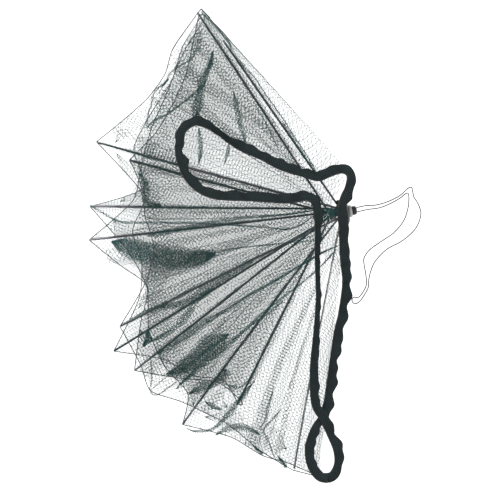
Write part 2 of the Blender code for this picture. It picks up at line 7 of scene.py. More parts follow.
import logging
import math
import random
from bisect import bisect_right
from collections.abc import Callable, Iterable, Sequence
from dataclasses import dataclass, field
from enum import Enum
from typing import NamedTuple

import bpy
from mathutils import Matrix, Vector, noise
from mathutils.bvhtree import BVHTree


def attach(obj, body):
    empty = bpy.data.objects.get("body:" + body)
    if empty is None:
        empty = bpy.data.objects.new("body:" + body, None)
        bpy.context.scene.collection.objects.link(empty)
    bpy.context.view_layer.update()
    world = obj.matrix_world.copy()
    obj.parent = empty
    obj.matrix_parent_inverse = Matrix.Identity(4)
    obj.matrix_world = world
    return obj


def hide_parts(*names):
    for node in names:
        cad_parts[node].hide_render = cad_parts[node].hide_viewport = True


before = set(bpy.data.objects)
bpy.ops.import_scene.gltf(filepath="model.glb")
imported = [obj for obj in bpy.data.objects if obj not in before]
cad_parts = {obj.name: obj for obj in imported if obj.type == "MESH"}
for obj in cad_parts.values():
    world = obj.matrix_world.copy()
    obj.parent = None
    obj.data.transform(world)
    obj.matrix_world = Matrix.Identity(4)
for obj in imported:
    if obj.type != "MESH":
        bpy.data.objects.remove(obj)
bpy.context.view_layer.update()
LOG = logging.getLogger("bait_trap")

NET_THICKNESS = 0.0012
RIB_RADIUS = 0.00125
GAP = 0.0003
RIB_TO_NET = RIB_RADIUS + GAP + NET_THICKNESS / 2
AXIS_ANGLE = 190.0
AXIS_HEIGHT = 0.015
REAR_HUB_RADIUS = 0.015
REAR_HUB_LENGTH = 0.010
FRONT_HUB_RADIUS = 0.0075
FRONT_HUB_LENGTH = 0.007
FRONT_HUB_AHEAD = 0.013
STEM_RADIUS = 0.0035
SOCKET_DEPTH = 0.0012
OUTER_SLEEVE = 0.008
INNER_SLEEVE = 0.006
TAPE_WIDTH = 0.011
TAPE_THICKNESS = 0.0012
CORD_RADIUS = 0.0006
CORD_REST = CORD_RADIUS + 0.0001
FOLD_ROUNDING = 0.35
LEAF_CORNER = 18


class Rib(NamedTuple):
    """A rib: where it leaves its hub, across and above the axis, and where its tip lies."""

    corner: str
    across: float
    above: float
    angle: float
    reach: float
    height: float
    side: int


OUTER_RIBS = {
    rib.corner: rib
    for rib in (
        Rib("a", 0.0105, 0.0050, 125.4, 0.2360, 0.0315, 1),
        Rib("b", 0.0055, 0.0095, 164.3, 0.2885, 0.0315, 1),
        Rib("c", 0.0055, -0.0095, 178.6, 0.2890, 0.0056, -1),
        Rib("d", -0.0055, 0.0095, 207.0, 0.2825, 0.0315, 1),
        Rib("e", -0.0055, -0.0095, 232.8, 0.3028, 0.0056, -1),
        Rib("f", -0.0105, 0.0050, 259.0, 0.2965, 0.0120, 1),
    )
}
INNER_RIBS = {
    rib.corner: rib
    for rib in (
        Rib("a", 0.0050, 0.0030, 126.3, 0.2805, 0.0184, 1),
        Rib("b", 0.0030, 0.0050, 166.3, 0.2490, 0.0184, 1),
        Rib("c", 0.0030, -0.0050, 186.2, 0.2900, 0.0151, -1),
        Rib("d", -0.0030, 0.0050, 211.1, 0.3035, 0.0184, 1),
        Rib("e", -0.0030, -0.0050, 217.1, 0.2975, 0.0151, -1),
        Rib("f", -0.0050, 0.0030, 240.9, 0.2490, 0.0184, 1),
    )
}


class Line(NamedTuple):
    """A line of a net from hub to rim: along a rib, along a fold, or beside a rib or a root point.

    angle, reach and height place the rim. belly lifts and sway shifts the middle. A line with a
    corner lies along that rib, or beyond it by `beyond`. root is the angle, reach and height of
    the hub end where nothing else sets it, or its height alone beyond a rib.
    """

    angle: float = 0.0
    reach: float = 0.0
    height: float = 0.0
    belly: float = 0.0
    sway: float = 0.0
    corner: str = ""
    beyond: float = 0.0
    root: tuple = ()


# The three lines after the one on rib d reach further out than in the solids, as a loose bulge of the rim
OUTER_LINES = (
    Line(125.3, 0.2790, 0.0295, root=(81.6, 0.0447, 0.0160)),
    Line(corner="a", reach=0.2650, height=0.0344, beyond=-0.0026, root=(0.0224,)),
    Line(corner="a", reach=0.2790),
    Line(136.2, 0.2665, 0.0304, 0.0005, 0.004),
    Line(142.6, 0.2540, 0.0330, -0.0003, -0.003),
    Line(150.0, 0.2555, 0.0303, 0.0004, 0.005),
    Line(157.2, 0.2680, 0.0326, 0.0, -0.002),
    Line(corner="b", reach=0.2895),
    Line(173.6, 0.2320, 0.0303, 0.0004, -0.003),
    Line(181.5, 0.2240, 0.0330, -0.0003, 0.004),
    Line(190.5, 0.2180, 0.0303, 0.0005, -0.004),
    Line(199.5, 0.2370, 0.0328, 0.0, 0.003),
    Line(corner="d", reach=0.2835),
    Line(216.6, 0.2860, 0.0304, 0.0004, -0.003),
    Line(222.6, 0.2960, 0.0330, 0.0, 0.003),
    Line(229.4, 0.2810, 0.0303, 0.0004, -0.003),
    Line(241.0, 0.2720, 0.0315, 0.0, 0.004),
    Line(250.5, 0.2850, 0.0238, 0.0, -0.002),
    Line(corner="f", reach=0.2985),
    Line(corner="f", reach=0.2985, height=0.0139, beyond=0.0030, root=(0.0217,)),
    Line(264.4, 0.3025, 0.0042, root=(270.0, 0.0350, 0.0080)),
    Line(264.8, 0.3028, 0.0024, root=(271.5, 0.0352, 0.0055)),
    Line(264.0, 0.3018, 0.0007, root=(269.0, 0.0346, 0.0030)),
    Line(257.5, 0.2930, 0.0010),
    Line(251.6, 0.2925, 0.0028, 0.0, 0.003),
    Line(243.5, 0.2870, 0.0008, 0.0, -0.003),
    Line(corner="e", reach=0.3038),
    Line(229.5, 0.2730, 0.0007, 0.0, 0.003),
    Line(221.0, 0.2690, 0.0030, 0.0, -0.004),
    Line(211.5, 0.2600, 0.0007, 0.0, 0.003),
    Line(201.0, 0.2400, 0.0029, 0.0, -0.003),
    Line(190.0, 0.2500, 0.0008, 0.0, 0.002),
    Line(corner="c", reach=0.2900),
    Line(173.0, 0.2300, 0.0007, 0.0, -0.003),
    Line(163.0, 0.2500, 0.0030, 0.0, 0.004),
    Line(152.0, 0.2470, 0.0007, 0.0, -0.003),
    Line(142.5, 0.2470, 0.0029, 0.0, 0.003),
    Line(134.0, 0.2640, 0.0008),
    Line(127.5, 0.2735, 0.0030),
    Line(125.4, 0.2780, 0.0060, root=(82.5, 0.0440, 0.0060)),
    Line(124.9, 0.2795, 0.0175, root=(80.0, 0.0452, 0.0110)),
)
INNER_LINES = (
    Line(corner="a", reach=0.2820),
    Line(138.5, 0.2380, 0.0186, 0.0, 0.003),
    Line(148.0, 0.2290, 0.0205, 0.0, -0.003),
    Line(157.0, 0.2310, 0.0186, 0.0, 0.002),
    Line(corner="b", reach=0.2500),
    Line(176.0, 0.2260, 0.0187, 0.0, -0.003),
    Line(185.0, 0.2400, 0.0205, 0.0, 0.003),
    Line(194.0, 0.2360, 0.0187, 0.0, -0.002),
    Line(203.0, 0.2520, 0.0204, 0.0, 0.002),
    Line(corner="d", reach=0.3045),
    Line(219.0, 0.2640, 0.0187, 0.0, 0.003),
    Line(227.0, 0.2520, 0.0204, 0.0, -0.003),
    Line(234.5, 0.2340, 0.0188),
    Line(corner="f", reach=0.2500),
    Line(corner="f", reach=0.2490, height=0.0203, beyond=0.0028, root=(0.0199,)),
    Line(corner="f", reach=0.2470, height=0.0170, beyond=0.0056, root=(0.0150,)),
    Line(corner="f", reach=0.2450, height=0.0128, beyond=0.0025, root=(0.0082,)),
    Line(233.5, 0.2400, 0.0148, 0.0, 0.002),
    Line(225.5, 0.2640, 0.0128, 0.0, -0.002),
    Line(corner="e", reach=0.2985),
    Line(208.5, 0.2620, 0.0148, 0.0, 0.003),
    Line(200.8, 0.2380, 0.0129, 0.0, -0.003),
    Line(193.5, 0.2600, 0.0148, 0.0, 0.002),
    Line(corner="c", reach=0.2910),
    Line(177.0, 0.2400, 0.0147, 0.0, -0.003),
    Line(167.0, 0.2360, 0.0129, 0.0, 0.003),
    Line(156.5, 0.2380, 0.0148, 0.0, -0.003),
    Line(146.0, 0.2420, 0.0129, 0.0, 0.003),
    Line(135.5, 0.2560, 0.0147),
    Line(corner="a", reach=0.2740, height=0.0128, beyond=-0.0025, root=(0.0082,)),
    Line(corner="a", reach=0.2750, height=0.0170, beyond=-0.0056, root=(0.0150,)),
    Line(corner="a", reach=0.2780, height=0.0203, beyond=-0.0028, root=(0.0199,)),
)


class Bend(NamedTuple):
    """A point of a zip tape's run: its place, how far it is turned on edge and its least height."""

    x: float
    y: float
    turn: float = 0.0
    least: float = 0.0


LOOP_START = 0.0747
# How far the tapes run past the loop, upper and lower, and past each other at their meeting
TAPE_OVERLAP = (0.0010, 0.0006)
TAPE_MEETING = (-0.0165, -0.3040)
TAPE_CROSSING = (0.0012, 0.0004)
UPPER_TAPE = (
    Bend(-0.1855, LOOP_START - TAPE_OVERLAP[0]), Bend(-0.1844, 0.0883), Bend(-0.1776, 0.0973),
    Bend(-0.1686, 0.1018), Bend(-0.1607, 0.1007, 15.0), Bend(-0.1516, 0.0962, 40.0),
    Bend(-0.1381, 0.0860, 62.0), Bend(-0.1268, 0.0792, 40.0), Bend(-0.1166, 0.0736, 15.0),
    Bend(-0.0929, 0.0634), Bend(-0.0759, 0.0544), Bend(-0.0612, 0.0487), Bend(-0.0443, 0.0442),
    Bend(-0.0296, 0.0400), Bend(-0.0160, 0.0453), Bend(-0.0014, 0.0490),
    Bend(0.0076, 0.0418, 0.0, 0.0240), Bend(0.0055, 0.0272, 0.0, 0.0300),
    Bend(-0.0002, 0.0145, 0.0, 0.0318), Bend(-0.0030, 0.0001, 0.0, 0.0318),
    Bend(-0.0014, -0.0180, 0.0, 0.0300), Bend(-0.0004, -0.0349, 0.0, 0.0200), Bend(0.0014, -0.0564),
    Bend(0.0043, -0.0767), Bend(0.0032, -0.0937), Bend(-0.0004, -0.1163), Bend(-0.0056, -0.1366),
    Bend(-0.0112, -0.1739), Bend(-0.0166, -0.2123), Bend(-0.0228, -0.2326), Bend(-0.0319, -0.2462),
    Bend(-0.0386, -0.2654), Bend(-0.0375, -0.2824), Bend(-0.0319, -0.2948), Bend(-0.0251, -0.3018),
    Bend(TAPE_MEETING[0] + TAPE_CROSSING[0], TAPE_MEETING[1] + TAPE_CROSSING[1]),
)
LOWER_TAPE = (
    Bend(-0.1855, LOOP_START - TAPE_OVERLAP[1]), Bend(-0.1844, 0.0623), Bend(-0.1799, 0.0487),
    Bend(-0.1731, 0.0363), Bend(-0.1618, 0.0261), Bend(-0.1494, 0.0205), Bend(-0.1347, 0.0182),
    Bend(-0.1031, 0.0171), Bend(-0.0861, 0.0159), Bend(-0.0669, 0.0148), Bend(-0.0545, 0.0159),
    Bend(-0.0409, 0.0175), Bend(-0.0317, 0.0090, 10.0), Bend(-0.0298, -0.0146, 45.0),
    Bend(-0.0307, -0.0405, 60.0), Bend(-0.0307, -0.0598, 62.0), Bend(-0.0296, -0.0937, 62.0),
    Bend(-0.0307, -0.1196, 60.0), Bend(-0.0319, -0.1411, 50.0), Bend(-0.0341, -0.1784, 30.0),
    Bend(-0.0319, -0.2157, 10.0, 0.0160), Bend(-0.0228, -0.2326, 0.0, 0.0160),
    Bend(-0.0126, -0.2541, 0.0, 0.0120), Bend(-0.0059, -0.2711), Bend(-0.0047, -0.2869),
    Bend(-0.0100, -0.2993), Bend(TAPE_MEETING[0] - TAPE_CROSSING[0], TAPE_MEETING[1] - TAPE_CROSSING[1]),
)
LOOP_BENDS_UPPER = 14
LOOP_BENDS_LOWER = 12

# The pull cord: out along one strand to the end loop and back along the other
CORD_ROUTE = (
    (0.0050, 0.0024, 0.0165), (0.0110, 0.0038, 0.0150), (0.0179, 0.0062, 0.0075),
    (0.0270, 0.0080, 0.0016), (0.0382, 0.0088, CORD_REST), (0.0518, 0.0128, CORD_REST),
    (0.0653, 0.0198, CORD_REST), (0.0740, 0.0276, CORD_REST), (0.0782, 0.0290, CORD_REST),
    (0.0794, 0.0250, CORD_REST), (0.0812, 0.0175, CORD_REST), (0.0857, 0.0103, CORD_REST),
    (0.0890, -0.0020, CORD_REST), (0.0830, -0.0180, CORD_REST), (0.0680, -0.0320, CORD_REST),
    (0.0500, -0.0420, CORD_REST), (0.0371, -0.0553, CORD_REST), (0.0320, -0.0660, CORD_REST),
    (0.0294, -0.0768, CORD_REST), (0.0288, -0.0856, CORD_REST), (0.0245, -0.0938, CORD_REST),
    (0.0195, -0.1010, CORD_REST), (0.0150, -0.1040, CORD_REST), (0.0110, -0.1028, CORD_REST),
    (0.0104, -0.0985, CORD_REST), (0.0130, -0.0966, CORD_REST), (0.0172, -0.0972, CORD_REST),
    (0.0219, -0.0922, CORD_REST), (0.0262, -0.0840, CORD_REST), (0.0266, -0.0760, CORD_REST),
    (0.0256, -0.0680, CORD_REST), (0.0241, -0.0598, CORD_REST), (0.0241, -0.0519, CORD_REST),
    (0.0300, -0.0430, CORD_REST), (0.0420, -0.0340, CORD_REST), (0.0580, -0.0230, CORD_REST),
    (0.0695, -0.0090, CORD_REST), (0.0744, 0.0058, CORD_REST), (0.0752, 0.0130, CORD_REST),
    (0.0752, 0.0190, CORD_REST), (0.0740, 0.0225, CORD_REST), (0.0700, 0.0205, CORD_REST),
    (0.0653, 0.0166, CORD_REST), (0.0530, 0.0098, CORD_REST), (0.0416, 0.0055, CORD_REST),
    (0.0290, 0.0036, 0.0018), (0.0190, 0.0014, 0.0075), (0.0115, -0.0004, 0.0130),
    (0.0055, -0.0008, 0.0145),
)


def polar(angle: float, reach: float, height: float = 0.0) -> Vector:
    """A point at this angle and reach from the origin."""
    turn = math.radians(angle)
    return Vector((reach * math.cos(turn), reach * math.sin(turn), height))


AHEAD = polar(AXIS_ANGLE, 1.0)
ACROSS = polar(AXIS_ANGLE - 90.0, 1.0)
UP = Vector((0.0, 0.0, 1.0))


def ease(share: float) -> float:
    """A share from 0 to 1 that starts and ends level."""
    return share * share * (3.0 - 2.0 * share)


def mix(first: float, second: float, share: float) -> float:
    """The number this share of the way from first to second."""
    return first + (second - first) * share


def hermite(start: Vector, end: Vector, leave: Vector, arrive: Vector, share: float) -> Vector:
    """A curve from start to end that leaves and arrives along the two given slopes."""
    square = share * share
    cube = square * share
    return (
        start * (2 * cube - 3 * square + 1)
        + leave * (cube - 2 * square + share)
        + end * (3 * square - 2 * cube)
        + arrive * (cube - square)
    )


def run_length(points: Sequence[Vector]) -> float:
    """The length of a run of points."""
    return sum((after - before).length for before, after in zip(points, points[1:]))


def spline(points: Sequence[Vector], count: int) -> list[Vector]:
    """Points read at even steps along a smooth curve.

    Args:
        points: The points that the curve passes through.
        count: How many points to read.

    Returns:
        The points, evenly spaced.
    """
    dense = []
    for index in range(len(points) - 1):
        before = points[max(index - 1, 0)]
        after = points[min(index + 2, len(points) - 1)]
        start, end = points[index], points[index + 1]
        for step in range(12):
            dense.append(hermite(start, end, (end - before) / 2, (after - start) / 2, step / 12))
    dense.append(points[-1])
    reached = [0.0]
    for before, after in zip(dense, dense[1:]):
        reached.append(reached[-1] + (after - before).length)
    even = []
    index = 0
    for step in range(count):
        goal = reached[-1] * step / (count - 1)
        while index < len(dense) - 2 and reached[index + 1] < goal:
            index += 1
        share = (goal - reached[index]) / max(reached[index + 1] - reached[index], 1e-9)
        even.append(dense[index].lerp(dense[index + 1], min(share, 1.0)))
    return even


def ripple(x: float, y: float, scale: float, seed: float) -> float:
    """A smooth uneven value from -1 to 1 over a plane, with features of about this scale."""
    return noise.noise(Vector((x / scale, y / scale, seed)))


# Shaders


class Value:
    """A number that varies over a surface: arithmetic on it adds Math nodes."""

    def __init__(self, shader: "Shader", socket: bpy.types.NodeSocket) -> None:
        """Wrap an output socket of this shader."""
        self.shader = shader
        self.socket = socket

    def _with(self, operation: str, first: "Value | float", second: "Value | float") -> "Value":
        """The result of one Math node on two values."""
        made = self.shader.node("ShaderNodeMath", {"operation": operation}, {0: first, 1: second})
        return Value(self.shader, made.outputs[0])

    def __add__(self, other: "Value | float") -> "Value":
        """This value plus another."""
        return self._with("ADD", self, other)

    def __rsub__(self, other: float) -> "Value":
        """A number less this value."""
        return self._with("SUBTRACT", other, self)

    def __mul__(self, other: "Value | float") -> "Value":
        """This value times another."""
        return self._with("MULTIPLY", self, other)

    __radd__ = __add__
    __rmul__ = __mul__


class Shader:
    """A Principled material under construction."""

    def __init__(self, name: str) -> None:
        """Start a material with this name."""
        self.material = bpy.data.materials.new(name)
        self.material.use_nodes = True
        self.tree = self.material.node_tree
        self.surface = self.tree.nodes["Principled BSDF"]
        self.place = self.node("ShaderNodeTexCoord", {}, {})

    def node(self, kind: str, settings: dict, sockets: dict) -> bpy.types.Node:
        """Add a node.

        Args:
            kind: The node's type.
            settings: Its settings. "stops" are a ramp's places and colours.
            sockets: A value, a Value or a socket for each input, by name or number.

        Returns:
            The node.
        """
        made = self.tree.nodes.new(kind)
        for name, setting in settings.items():
            if name == "stops":
                while len(made.color_ramp.elements) < len(setting):
                    made.color_ramp.elements.new(1.0)
                for element, (place, colour) in zip(made.color_ramp.elements, setting):
                    element.position = place
                    element.color = (*colour, 1.0)
            else:
                setattr(made, name, setting)
        for name, given in sockets.items():
            if isinstance(given, Value):
                given = given.socket
            if isinstance(given, bpy.types.NodeSocket):
                self.tree.links.new(given, made.inputs[name])
            else:
                made.inputs[name].default_value = given
        return made

    def grain(self, scale: float, detail: float = 3.0, stretch: tuple = (1, 1, 1), uv: bool = False) -> Value:
        """A noise value over the piece, stretched along its axes or its own map."""
        source = self.place.outputs["UV" if uv else "Object"]
        placed = self.node("ShaderNodeMapping", {}, {"Vector": source, "Scale": stretch})
        made = self.node(
            "ShaderNodeTexNoise", {}, {"Vector": placed.outputs[0], "Scale": scale, "Detail": detail}
        )
        return Value(self, made.outputs["Fac"])

    def waves(self, scale: float, turn: float) -> Value:
        """Even ridges over the piece's own map, turned by an angle."""
        placed = self.node(
            "ShaderNodeMapping", {}, {"Vector": self.place.outputs["UV"], "Rotation": (0.0, 0.0, turn)}
        )
        made = self.node(
            "ShaderNodeTexWave", {}, {"Vector": placed.outputs[0], "Scale": scale, "Distortion": 0.4}
        )
        return Value(self, made.outputs["Fac"])

    def colours(self, share: Value, stops: Sequence[tuple[float, tuple]]) -> bpy.types.NodeSocket:
        """A colour that runs through stops as a value rises."""
        return self.node("ShaderNodeValToRGB", {"stops": list(stops)}, {0: share}).outputs["Color"]

    def bump(self, height: Value, distance: float, strength: float) -> None:
        """Give the surface a relief of this depth in metres."""
        made = self.node(
            "ShaderNodeBump", {}, {"Height": height, "Distance": distance, "Strength": strength}
        )
        self.join("Normal", made.outputs[0])

    def join(self, name: str, given: "Value | bpy.types.NodeSocket") -> None:
        """Drive one input of the surface."""
        self.tree.links.new(given.socket if isinstance(given, Value) else given, self.surface.inputs[name])

    def fix(self, **numbers: float) -> None:
        """Set inputs of the surface that are the same all over, by name with _ for a space."""
        for name, number in numbers.items():
            self.surface.inputs[name.replace("_", " ").title().replace("Ior", "IOR")].default_value = number


Colour = tuple[float, float, float]


@dataclass(frozen=True)
class NettingFinish:
    """Knotless netting in its dye colours, whose darker funnel copy also paints shade into dense folds: its
    tone drifts over the cloth and along the strands.
    """

    name: str
    deep: Colour
    pale: Colour
    roughness: float = 0.55

    def build(self) -> bpy.types.Material:
        """Make the material."""
        made = Shader(self.name)
        drift = made.grain(9.0, 2.0)
        fibre = made.grain(900.0, 2.0)
        shade = drift * 0.7 + fibre * 0.3
        made.join("Base Color", made.colours(shade, ((0.32, self.deep), (0.68, self.pale))))
        made.join("Roughness", fibre * 0.25 + (self.roughness - 0.12))
        made.bump(fibre, 0.0001, 0.4)
        return made.material


@dataclass(frozen=True)
class SteelFinish:
    """Drawn steel wire with faint draw marks and dull patches."""

    name: str
    deep: Colour
    pale: Colour

    def build(self) -> bpy.types.Material:
        """Make the material."""
        made = Shader(self.name)
        patches = made.grain(40.0, 4.0)
        scratches = made.grain(700.0, 3.0)
        made.join("Base Color", made.colours(patches, ((0.35, self.deep), (0.65, self.pale))))
        made.join("Roughness", patches * 0.3 + 0.2)
        made.fix(metallic=1.0)
        made.bump(scratches, 0.00005, 0.3)
        return made.material


@dataclass(frozen=True)
class MouldingFinish:
    """Moulded plastic with a fine spark-eroded grain and rubbed highs."""

    name: str
    deep: Colour
    pale: Colour

    def build(self) -> bpy.types.Material:
        """Make the material."""
        made = Shader(self.name)
        cloud = made.grain(120.0, 4.0)
        spark = made.grain(2500.0, 2.0)
        made.join("Base Color", made.colours(cloud, ((0.3, self.deep), (0.7, self.pale))))
        made.join("Roughness", cloud * 0.25 + 0.3)
        made.bump(spark, 0.0001, 0.5)
        return made.material


@dataclass(frozen=True)
class WovenFinish:
    """A woven or braided yarn surface that follows the piece's own map, in metres."""

    name: str
    deep: Colour
    pale: Colour
    rows: float
    slant: float

    def build(self) -> bpy.types.Material:
        """Make the material."""
        made = Shader(self.name)
        there, back = made.waves(self.rows, self.slant), made.waves(self.rows, -self.slant)
        weave = there * 0.5 + back * 0.5
        cloud = made.grain(90.0, 3.0)
        shade = weave * 0.5 + cloud * 0.5
        made.join("Base Color", made.colours(shade, ((0.3, self.deep), (0.75, self.pale))))
        made.join("Roughness", 0.9 - weave * 0.2)
        made.bump(weave, 0.0004, 0.7)
        return made.material


class Finish(Enum):
    """The trap's finishes, each with the slot of the record that it belongs to."""

    NET = ("netting", NettingFinish("netting", (0.095, 0.175, 0.190), (0.210, 0.290, 0.320)))
    # Darker teal netting: partly the funnels' own dye, partly painted shade of dense stacked folds; on the
    # main nets' gathered folds it is painted shade alone
    FUNNEL_DYE_AND_FOLD_SHADE = ("funnel_netting", NettingFinish("funnel netting", (0.014, 0.080, 0.078), (0.040, 0.170, 0.160)))
    SEAM = ("netting", NettingFinish("seam netting", (0.060, 0.066, 0.080), (0.150, 0.155, 0.180)))
    # Painted shade: the sleeved ribs' steel is darkened, dimming its reflection, to stand for the shade of
    # the sleeves over it; the bare rib keeps the bright steel
    SLEEVE_SHADED_STEEL = ("rib_steel", SteelFinish("steel wire", (0.16, 0.16, 0.18), (0.34, 0.34, 0.37)))
    BRIGHT = ("rib_steel", SteelFinish("bright steel wire", (0.50, 0.49, 0.51), (0.66, 0.65, 0.66)))
    BLACK = ("black_moulding", MouldingFinish("black moulding", (0.008, 0.008, 0.010), (0.024, 0.024, 0.027)))
    GREY = ("grey_moulding", MouldingFinish("grey moulding", (0.44, 0.44, 0.43), (0.60, 0.60, 0.58)))
    TAPE = ("zip_tape", WovenFinish("zip tape", (0.003, 0.006, 0.007), (0.018, 0.040, 0.042), 130.0, 0.785))
    COIL = ("zip_tape", MouldingFinish("zip coil", (0.10, 0.10, 0.11), (0.20, 0.20, 0.21)))
    CORD = ("cord", WovenFinish("cord", (0.014, 0.020, 0.018), (0.060, 0.074, 0.066), 700.0, 0.6))

    @property
    def slot(self) -> str:
        """The slot of the record."""
        return self.value[0]

    def material(self) -> bpy.types.Material:
        """The finish's material, made once."""
        known = bpy.data.materials.get(self.value[1].name)
        return known or self.value[1].build()


# Geometry Nodes


class Tree:
    """A Geometry Nodes tree under construction, with named inputs."""

    def __init__(self, name: str, inputs: Sequence[tuple[str, str]]) -> None:
        """Start a tree.

        Args:
            name: The tree's name.
            inputs: The name and socket type of each input after the geometry.
        """
        self.group = bpy.data.node_groups.new(name, "GeometryNodeTree")
        face = self.group.interface
        face.new_socket("Geometry", in_out="INPUT", socket_type="NodeSocketGeometry")
        self.keys = {
            label: face.new_socket(label, in_out="INPUT", socket_type=kind).identifier
            for label, kind in inputs
        }
        face.new_socket("Geometry", in_out="OUTPUT", socket_type="NodeSocketGeometry")
        self.given = self.group.nodes.new("NodeGroupInput").outputs

    def node(
        self, kind: str, settings: dict | None = None, **sockets: object
    ) -> "bpy.types.bpy_prop_collection":
        """Add a node with its settings and inputs, and return its outputs."""
        made = self.group.nodes.new(kind)
        for name, setting in (settings or {}).items():
            setattr(made, name, setting)
        for name, value in sockets.items():
            target = made.inputs[name.replace("_", " ")]
            if isinstance(value, bpy.types.NodeSocket):
                self.group.links.new(value, target)
            else:
                target.default_value = value
        return made.outputs

    def end(self, shape: bpy.types.NodeSocket) -> None:
        """Realise the shape, give it the tree's finish and end the tree."""
        real = self.node("GeometryNodeRealizeInstances", Geometry=shape)
        dressed = self.node("GeometryNodeSetMaterial", Geometry=real[0], Material=self.given["Finish"])
        out = self.group.nodes.new("NodeGroupOutput")
        self.group.links.new(dressed[0], out.inputs[0])

    def grow(self, name: str, source: bpy.types.Mesh, **inputs: object) -> bpy.types.Object:
        """Run the tree on a mesh and keep the result as a plain mesh.

        Args:
            name: The finished piece's name.
            source: The mesh that the tree reads.
            inputs: A value for each named input, with _ for a space.

        Returns:
            The finished object.
        """
        seed = bpy.data.objects.new(name + "_seed", source)
        bpy.context.scene.collection.objects.link(seed)
        modifier = seed.modifiers.new("Grow", "NODES")
        modifier.node_group = self.group
        for label, value in inputs.items():
            modifier[self.keys[label.replace("_", " ")]] = value
        graph = bpy.context.evaluated_depsgraph_get()
        result = bpy.data.meshes.new_from_object(seed.evaluated_get(graph), depsgraph=graph)
        seed.modifiers.remove(modifier)
        bpy.data.objects.remove(seed, do_unlink=True)
        result.name = name
        made = bpy.data.objects.new(name, result)
        bpy.context.scene.collection.objects.link(made)
        return made


FLOAT, MATERIAL = "NodeSocketFloat", "NodeSocketMaterial"
# A triangle with corners this far out spans this much along its X and one unit along its Y
TRIANGLE_RADIUS = 0.5773503
TRIANGLE_SPAN = 0.8660254


def strand_tree() -> Tree:
    """A tree that turns each run of edges into an upright three-sided strand."""
    tree = Tree("Strands", (("Width", FLOAT), ("Height", FLOAT), ("Finish", MATERIAL)))
    lines = tree.node("GeometryNodeMeshToCurve", Mesh=tree.given["Geometry"])
    level = tree.node("GeometryNodeSetCurveNormal", {"mode": "Z_UP"}, Curve=lines[0])
    ring = tree.node("GeometryNodeCurvePrimitiveCircle", Resolution=3, Radius=TRIANGLE_RADIUS)
    across = tree.node("ShaderNodeMath", {"operation": "DIVIDE"})
    tree.group.links.new(tree.given["Width"], across[0].node.inputs[0])
    across[0].node.inputs[1].default_value = TRIANGLE_SPAN
    size = tree.node("ShaderNodeCombineXYZ", X=across[0], Y=tree.given["Height"], Z=1.0)
    flat = tree.node("GeometryNodeTransform", Geometry=ring[0], Scale=size[0])
    skin = tree.node("GeometryNodeCurveToMesh", Curve=level[0], Profile_Curve=flat[0])
    tree.end(skin[0])
    return tree


def tube_tree() -> Tree:
    """A tree that turns each run of edges into a round tube with closed ends."""
    tree = Tree("Tube", (("Radius", FLOAT), ("Sides", "NodeSocketInt"), ("Finish", MATERIAL)))
    lines = tree.node("GeometryNodeMeshToCurve", Mesh=tree.given["Geometry"])
    ring = tree.node(
        "GeometryNodeCurvePrimitiveCircle", Resolution=tree.given["Sides"], Radius=tree.given["Radius"]
    )
    skin = tree.node(
        "GeometryNodeCurveToMesh", Curve=lines[0], Profile_Curve=ring[0], Fill_Caps=True
    )
    smooth = tree.node("GeometryNodeSetShadeSmooth", Geometry=skin[0])
    tree.end(smooth[0])
    return tree


def coil_tree() -> Tree:
    """A tree that sets a small loop of coil at even steps along each run of edges."""
    tree = Tree("Coil", (("Pitch", FLOAT), ("Radius", FLOAT), ("Wire", FLOAT), ("Finish", MATERIAL)))
    lines = tree.node("GeometryNodeMeshToCurve", Mesh=tree.given["Geometry"])
    even = tree.node(
        "GeometryNodeCurveToPoints", {"mode": "LENGTH"}, Curve=lines[0], Length=tree.given["Pitch"]
    )
    ring = tree.node("GeometryNodeCurvePrimitiveCircle", Resolution=6, Radius=tree.given["Radius"])
    wire = tree.node("GeometryNodeCurvePrimitiveCircle", Resolution=3, Radius=tree.given["Wire"])
    loop = tree.node("GeometryNodeCurveToMesh", Curve=ring[0], Profile_Curve=wire[0])
    row = tree.node(
        "GeometryNodeInstanceOnPoints", Points=even[0], Instance=loop[0], Rotation=even["Rotation"]
    )
    tree.end(row[0])
    return tree


def line_mesh(name: str, runs: Iterable[Sequence[Vector]]) -> bpy.types.Mesh:
    """A mesh of edges, one run of them for each run of points."""
    points: list[Vector] = []
    edges = []
    for run in runs:
        first = len(points)
        points += run
        edges += [(first + step, first + step + 1) for step in range(len(run) - 1)]
    made = bpy.data.meshes.new(name)
    made.from_pydata([tuple(point) for point in points], edges, [])
    return made


# Cloth


